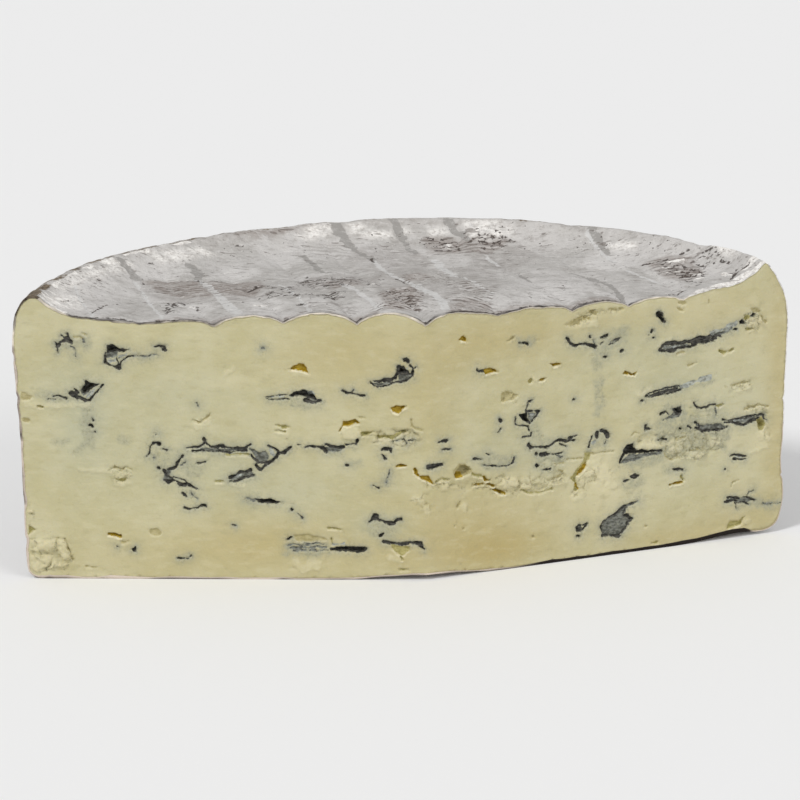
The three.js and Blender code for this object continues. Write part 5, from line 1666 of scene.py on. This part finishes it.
class Shader:
    """Builds one node material, each call adding one node."""

    def __init__(self, name):
        self.material = bpy.data.materials.new(name)
        self.material.use_nodes = True
        self.tree = self.material.node_tree
        self.surface = self.tree.nodes["Principled BSDF"]
        self.place = self.node("ShaderNodeTexCoord").outputs["Object"]

    def node(self, kind, sockets=None, **settings):
        made = self.tree.nodes.new(kind)
        for key, value in settings.items():
            setattr(made, key, value)
        for key, value in (sockets or {}).items():
            if isinstance(value, bpy.types.NodeSocket):
                self.tree.links.new(value, made.inputs[key])
            else:
                made.inputs[key].default_value = value
        return made

    def mark(self, name):
        """How strongly a kind of mark colours the surface, as stored in the mesh."""
        return self.node("ShaderNodeAttribute", attribute_name=name).outputs["Fac"]

    def noise(self, size, detail=3.0, roughness=0.55, stretch=(1, 1, 1), offset=0.0):
        """Noise whose bumps are about `size` mm across."""
        scaled = self.node("ShaderNodeMapping", {
            "Vector": self.place, "Scale": stretch, "Location": (offset, offset, offset)})
        made = self.node("ShaderNodeTexNoise", {
            "Vector": scaled.outputs[0], "Scale": 1 / (size * MM),
            "Detail": detail, "Roughness": roughness})
        return made.outputs["Fac"]

    def range(self, value, low, high, out_low=0.0, out_high=1.0):
        """Carries low to high over to another range, with soft ends."""
        made = self.node("ShaderNodeMapRange", {
            "Value": value, "From Min": low, "From Max": high, "To Min": out_low, "To Max": out_high},
            interpolation_type="SMOOTHSTEP")
        return made.outputs["Result"]

    def math(self, operation, a, b=0.0):
        return self.node("ShaderNodeMath", {0: a, 1: b}, operation=operation).outputs[0]

    def mix(self, share, low, high, blend="MIX"):
        made = self.node("ShaderNodeMix", {0: share, 6: low, 7: high}, data_type="RGBA", blend_type=blend)
        return made.outputs[2]

    def cover(self, name, strength, ragged, colour, tone):
        """Lays one kind of mark with a crisp ragged edge over a colour."""
        edge = self.range(self.math("ADD", self.mark(name), ragged), 0.32, 0.68)
        return self.mix(self.math("MULTIPLY", edge, strength), colour, tone)

    def wash(self, name, strength, patchy, colour, tone):
        """Lays one kind of mark softly and patchily over a colour."""
        share = self.math("MULTIPLY", self.math("MULTIPLY", self.mark(name), patchy), strength)
        return self.mix(self.math("MINIMUM", share, 1.0), colour, tone)

    def bump(self, height, distance, below=None):
        sockets = {"Height": height, "Distance": distance * MM, "Strength": 1.0}
        if below is not None:
            sockets["Normal"] = below
        return self.node("ShaderNodeBump", sockets).outputs[0]

    def connect(self, name, socket):
        self.tree.links.new(socket, self.surface.inputs[name])

    def set(self, **values):
        for name, value in values.items():
            self.surface.inputs[name.replace("_", " ")].default_value = value


# Tones are 0 to 255. Tints are (mark, strength, tone) and marks of two tones are (mark, strength,
# dark tone, light tone). Each lies over the ones before it.
# The light tone is painted light on the paste
PASTE_TONES = {"base": ((184, 177, 138), (191, 185, 150)), "warm": (178, 163, 113),
               "cool": (174, 175, 150), "light": (208, 200, 166)}
# The flake, lump, crumb and lip tints are painted highlights on the raised paste
PASTE_TINTS = [
    ("stain", 0.8, (150, 151, 134)), ("haze", 0.6, (158, 157, 134)),
    ("flake", 0.4, (210, 203, 170)), ("lump", 0.45, (210, 202, 168)),
    ("chunk", 0.5, (208, 199, 164)), ("lip", 0.7, (226, 219, 188)),
]
PASTE_MARKS = [
    # The gap tones are painted shade in the crevices between the crumbs
    ("gap", 0.35, (136, 126, 84), (164, 155, 114)), ("tan", 0.8, (152, 141, 94), (176, 166, 122)),
    ("olive", 0.9, (148, 140, 80), (176, 168, 112)), ("amber", 1.0, (149, 121, 16), (190, 163, 56)),
    ("mould", 0.94, (60, 61, 56), (120, 122, 114)), ("ink", 1.0, (38, 37, 32), (84, 82, 75)),
    ("bloom", 0.9, (120, 122, 115), (174, 178, 170)),
]
AMBER_SHADE = (88, 62, 6)
RIND_TINTS = [
    ("shady", 0.55, (160, 155, 151)), ("bright", 0.75, (209, 206, 203)),
    ("rim", 0.3, (196, 192, 187)), ("brown", 0.65, (150, 141, 135)), ("under", 0.6, (128, 110, 84)),
]
# Painted shade in the grooves, then painted highlight on their lit banks
GROOVE_SHADE_AND_HIGHLIGHT = [("band", 0.8, (148, 145, 141)), ("strip", 0.8, (208, 207, 205))]
RIND_MARKS = [("crust", 0.9, (116, 101, 80)), ("crease", 0.9, (72, 64, 59))]


def paste_ground(s):
    """Plain paste: cloudy, with broad tints, the pale ones painted light, smears and fine speckles."""
    cloud = s.noise(9, 4)
    speckle = s.noise(0.9, 3, 0.65)
    smear = s.noise(1.6, 3, 0.6, stretch=(0.35, 0.35, 1))
    darker, lighter = PASTE_TONES["base"]
    colour = s.mix(s.range(cloud, 0.32, 0.68), linear(*darker), linear(*lighter))
    # The light tint is painted light
    for name, strength in (("warm", 0.7), ("cool", 0.7), ("light", 0.5)):
        share = s.math("MULTIPLY", s.mark(name), strength)
        colour = s.mix(share, colour, linear(*PASTE_TONES[name]))
    colour = s.mix(s.range(smear, 0.52, 0.68, 0, 0.22), colour, linear(204, 197, 164))
    colour = s.mix(s.range(smear, 0.46, 0.3, 0, 0.25), colour, linear(164, 156, 116))
    return s.mix(s.range(speckle, 0.4, 0.26, 0, 0.25), colour, linear(158, 149, 106))


def paste_haze(s, colour):
    """Soft tints, among them painted highlights on the raised paste and lips, and grains of mould in the
    stained and hazy places.
    """
    patchy = s.range(s.noise(1.5, 3, 0.6, offset=0.04), 0.3, 0.7, 0.45, 1.3)
    for name, strength, tone in PASTE_TINTS:
        colour = s.wash(name, strength, patchy, colour, linear(*tone))
    grain = s.range(s.noise(0.6, 3, 0.7, offset=0.06), 0.5, 0.64)
    halo = s.math("MAXIMUM", s.mark("stain"), s.math("MULTIPLY", s.mark("haze"), 0.6))
    grains = s.math("MULTIPLY", s.math("MULTIPLY", halo, grain), 0.6)
    return s.mix(grains, colour, linear(118, 117, 98))


def paste_marks(s, colour):
    """Crisp marks of two tones. The mould's edges are more torn than the others'."""
    edge_noise = s.noise(0.7, 4, 0.75, offset=0.02)
    ragged = s.range(edge_noise, 0.3, 0.7, -0.36, 0.32)
    torn = s.range(edge_noise, 0.3, 0.7, -0.42, 0.36)
    blotch = s.range(s.noise(0.8, 3, 0.6, offset=0.03, stretch=(0.6, 0.6, 1.3)), 0.36, 0.64)
    for name, strength, dark, light in PASTE_MARKS:
        tone = s.mix(blotch, linear(*dark), linear(*light))
        if name == "amber":
            tone = s.mix(s.math("MULTIPLY", s.mark("shade"), 0.5), tone, linear(*AMBER_SHADE))
        colour = s.cover(name, strength, torn if name in ("ink", "mould") else ragged, colour, tone)
    return colour


def paste_material():
    s = Shader("paste")
    s.connect("Base Color", paste_marks(s, paste_haze(s, paste_ground(s))))
    s.connect("Roughness", s.range(s.noise(3, 3), 0.3, 0.7, 0.42, 0.6))
    rough = s.bump(s.noise(3.2, 4, 0.6), 0.3)
    s.connect("Normal", s.bump(s.noise(0.6, 3, 0.6), 0.06, below=rough))
    s.set(Subsurface_Weight=0.1, Subsurface_Radius=(1.0, 0.7, 0.3), Subsurface_Scale=0.001,
          IOR=1.42, Specular_IOR_Level=0.35)
    return s.material


def rind_ground(s, mottle, speckle):
    """The skin's mottled grey, with its bands of painted shade and strips of painted highlight along the
    grooves, bloom and fine grain.
    """
    cloud = s.noise(16, 3)
    streaks = s.noise(1.1, 4, 0.7, offset=0.3, stretch=(0.3, 1, 1))
    crisp = s.range(s.noise(0.9, 3, 0.6, offset=0.17), 0.3, 0.7, -0.15, 0.15)
    patchy = s.range(s.noise(3, 4, 0.65, offset=0.25), 0.3, 0.65, 0.3, 1.2)
    colour = s.mix(s.range(cloud, 0.35, 0.65), linear(180, 177, 173), linear(199, 196, 193))
    for name, strength, tone in RIND_TINTS:
        colour = s.wash(name, strength, patchy, colour, linear(*tone))
    colour = s.mix(s.range(mottle, 0.54, 0.66, 0, 0.5), colour, linear(210, 207, 204))
    colour = s.mix(s.range(mottle, 0.45, 0.32, 0, 0.5), colour, linear(150, 144, 139))
    chalk = s.mix(s.range(speckle, 0.3, 0.6), linear(196, 190, 184), linear(250, 247, 242))
    colour = s.wash("pale", 0.75, patchy, colour, chalk)
    for name, strength, tone in GROOVE_SHADE_AND_HIGHLIGHT:
        colour = s.cover(name, strength, crisp, colour, linear(*tone))
    colour = s.mix(s.range(streaks, 0.54, 0.66, 0, 0.4), colour, linear(212, 209, 206))
    colour = s.mix(s.range(streaks, 0.46, 0.34, 0, 0.4), colour, linear(146, 140, 135))
    colour = s.mix(s.range(speckle, 0.58, 0.7, 0, 0.45), colour, linear(220, 217, 213))
    colour = s.mix(s.range(speckle, 0.42, 0.3, 0, 0.45), colour, linear(140, 133, 127))
    return s.cover("white", 0.85, crisp, colour, chalk)


def rind_dashes(s, colour):
    """Short scratches and dark dashes, closer together in the dashed and brown places."""
    dashes = s.noise(1.1, 3, 0.6, offset=0.13, stretch=(0.8, 1, 1))
    scratches = s.noise(1.1, 2, 0.5, offset=0.33, stretch=(0.2, 1, 1))
    swarm = s.range(s.noise(11, 3, offset=0.21), 0.45, 0.7, 0, 0.06)
    scratched = s.math("ADD", s.math("MULTIPLY", s.mark("dashed"), 0.08),
                       s.math("MULTIPLY", s.mark("brown"), 0.05))
    scratch = s.range(s.math("SUBTRACT", s.math("SUBTRACT", scratches, swarm), scratched), 0.33, 0.29)
    colour = s.mix(s.math("MULTIPLY", scratch, 0.6), colour, linear(104, 95, 89))
    crowded = s.math("MULTIPLY", s.mark("dashed"), 0.145)
    dark = s.range(s.math("SUBTRACT", s.math("SUBTRACT", dashes, swarm), crowded), 0.3, 0.27)
    return s.mix(s.math("MULTIPLY", dark, 0.9), colour, linear(66, 58, 53))


def rind_wrinkles(s, ragged, colour):
    wave = s.math("SINE", s.math("MULTIPLY", s.mark("across"), 2 * math.pi))
    lines = s.math("MULTIPLY", s.range(s.math("ADD", wave, ragged), 0.2, 0.65), s.mark("wrinkled"))
    broken = s.range(s.noise(2.4, 3, 0.6, offset=0.41), 0.34, 0.48, 0.4, 1)
    return s.mix(s.math("MULTIPLY", lines, broken), colour, linear(96, 85, 78))


def rind_edge(s, ragged, speckle, colour):
    """Crust and creases, and the rind's cut edge: pale, partly as painted highlight, with its dark line of
    brown rind, painted shade in the groove notches and a painted shadow along the right face's foot.
    """
    for name, strength, tone in RIND_MARKS:
        colour = s.cover(name, strength, ragged, colour, linear(*tone))
    # The cut edge's cream is partly the rind's own pale colour and partly painted highlight
    cut = s.mix(s.mark("under"), linear(232, 222, 206), linear(208, 194, 180))
    colour = s.cover("edge", 1.0, ragged, colour, cut)
    lumps = s.math("MULTIPLY", s.range(speckle, 0.52, 0.42), s.mark("crust"))
    colour = s.mix(s.math("MULTIPLY", lumps, 0.7), colour, linear(56, 46, 38))
    return s.mix(s.mark("dark_edge"), colour, linear(30, 22, 18))


def rind_material():
    s = Shader("rind")
    mottle = s.noise(4, 5, 0.7, offset=0.05)
    speckle = s.noise(1.1, 4, 0.7, offset=0.09)
    ragged = s.range(s.noise(0.9, 3, 0.6, offset=0.17), 0.3, 0.7, -0.3, 0.3)
    colour = rind_wrinkles(s, ragged, rind_dashes(s, rind_ground(s, mottle, speckle)))
    s.connect("Base Color", rind_edge(s, ragged, speckle, colour))
    s.connect("Roughness", s.range(mottle, 0.3, 0.7, 0.78, 0.95))
    s.connect("Normal", s.bump(speckle, 0.3, below=s.bump(mottle, 0.6)))
    s.set(Specular_IOR_Level=0.25)
    return s.material


def plain_material(name, colour, roughness):
    material = bpy.data.materials.new(name)
    material.use_nodes = True
    surface = material.node_tree.nodes["Principled BSDF"]
    surface.inputs["Base Color"].default_value = colour
    surface.inputs["Roughness"].default_value = roughness
    return material


# ---------------------------------------------------------------- stage, light and camera

# The camera's distance from its target, its angle above level and its turn to the side
CAMERA_DISTANCE = 899.07
CAMERA_ELEVATION = math.radians(14.17)
CAMERA_TURN = math.radians(-0.9)
CAMERA_TARGET = (-1.61, -51.5, 46.65)
CAMERA_LENS = 163.0
CAMERA_SENSOR = 36.0
# In metres: the floor reaches further behind the wedge than in front of it
FLOOR_SIZE, FLOOR_PLACE = 12, (0, 3, 0)
FLOOR_TONE, FLOOR_ROUGHNESS = (240, 240, 240), 0.9
SKY_STRENGTH = 0.55
# Far lights: name, direction they come from, spread in degrees, strength
FAR_LIGHTS = [("key", (-0.45, -0.55, 0.7), 12, 1.41), ("fill", (0.7, -0.6, 0.4), 40, 0.84)]


def add_camera():
    level = math.cos(CAMERA_ELEVATION)
    look = Vector((math.sin(CAMERA_TURN) * level, math.cos(CAMERA_TURN) * level,
                   -math.sin(CAMERA_ELEVATION)))
    camera = bpy.data.objects.new("camera", bpy.data.cameras.new("camera"))
    camera.data.lens = CAMERA_LENS
    camera.data.sensor_width = CAMERA_SENSOR
    camera.location = (Vector(CAMERA_TARGET) - CAMERA_DISTANCE * look) * MM
    camera.rotation_euler = look.to_track_quat("-Z", "Y").to_euler()
    bpy.context.scene.collection.objects.link(camera)
    bpy.context.scene.camera = camera


def add_far_light(name, direction, spread, strength):
    light = bpy.data.objects.new(name, bpy.data.lights.new(name, "SUN"))
    light.data.angle = math.radians(spread)
    light.data.energy = strength
    light.rotation_euler = (-Vector(direction)).to_track_quat("-Z", "Y").to_euler()
    bpy.context.scene.collection.objects.link(light)


def add_stage():
    bpy.ops.mesh.primitive_plane_add(size=FLOOR_SIZE, location=FLOOR_PLACE)
    floor = bpy.context.object
    floor.name = "floor"
    floor.data.materials.append(plain_material("floor", linear(*FLOOR_TONE), FLOOR_ROUGHNESS))
    world = bpy.data.worlds.new("studio")
    world.use_nodes = True
    background = world.node_tree.nodes["Background"]
    background.inputs["Color"].default_value = (1, 1, 1, 1)
    background.inputs["Strength"].default_value = SKY_STRENGTH
    bpy.context.scene.world = world
    for name, direction, spread, strength in FAR_LIGHTS:
        add_far_light(name, direction, spread, strength)


bpy.context.scene.view_settings.view_transform = "Standard"
add_camera()
add_stage()
for piece, material, slot in ((build_paste(), paste_material(), "paste"),
                              (build_rind(), rind_material(), "rind")):
    piece.data.materials.append(material)
    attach(piece, "root")
    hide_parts("cheese_wedge")

bpy.context.view_layer.update()
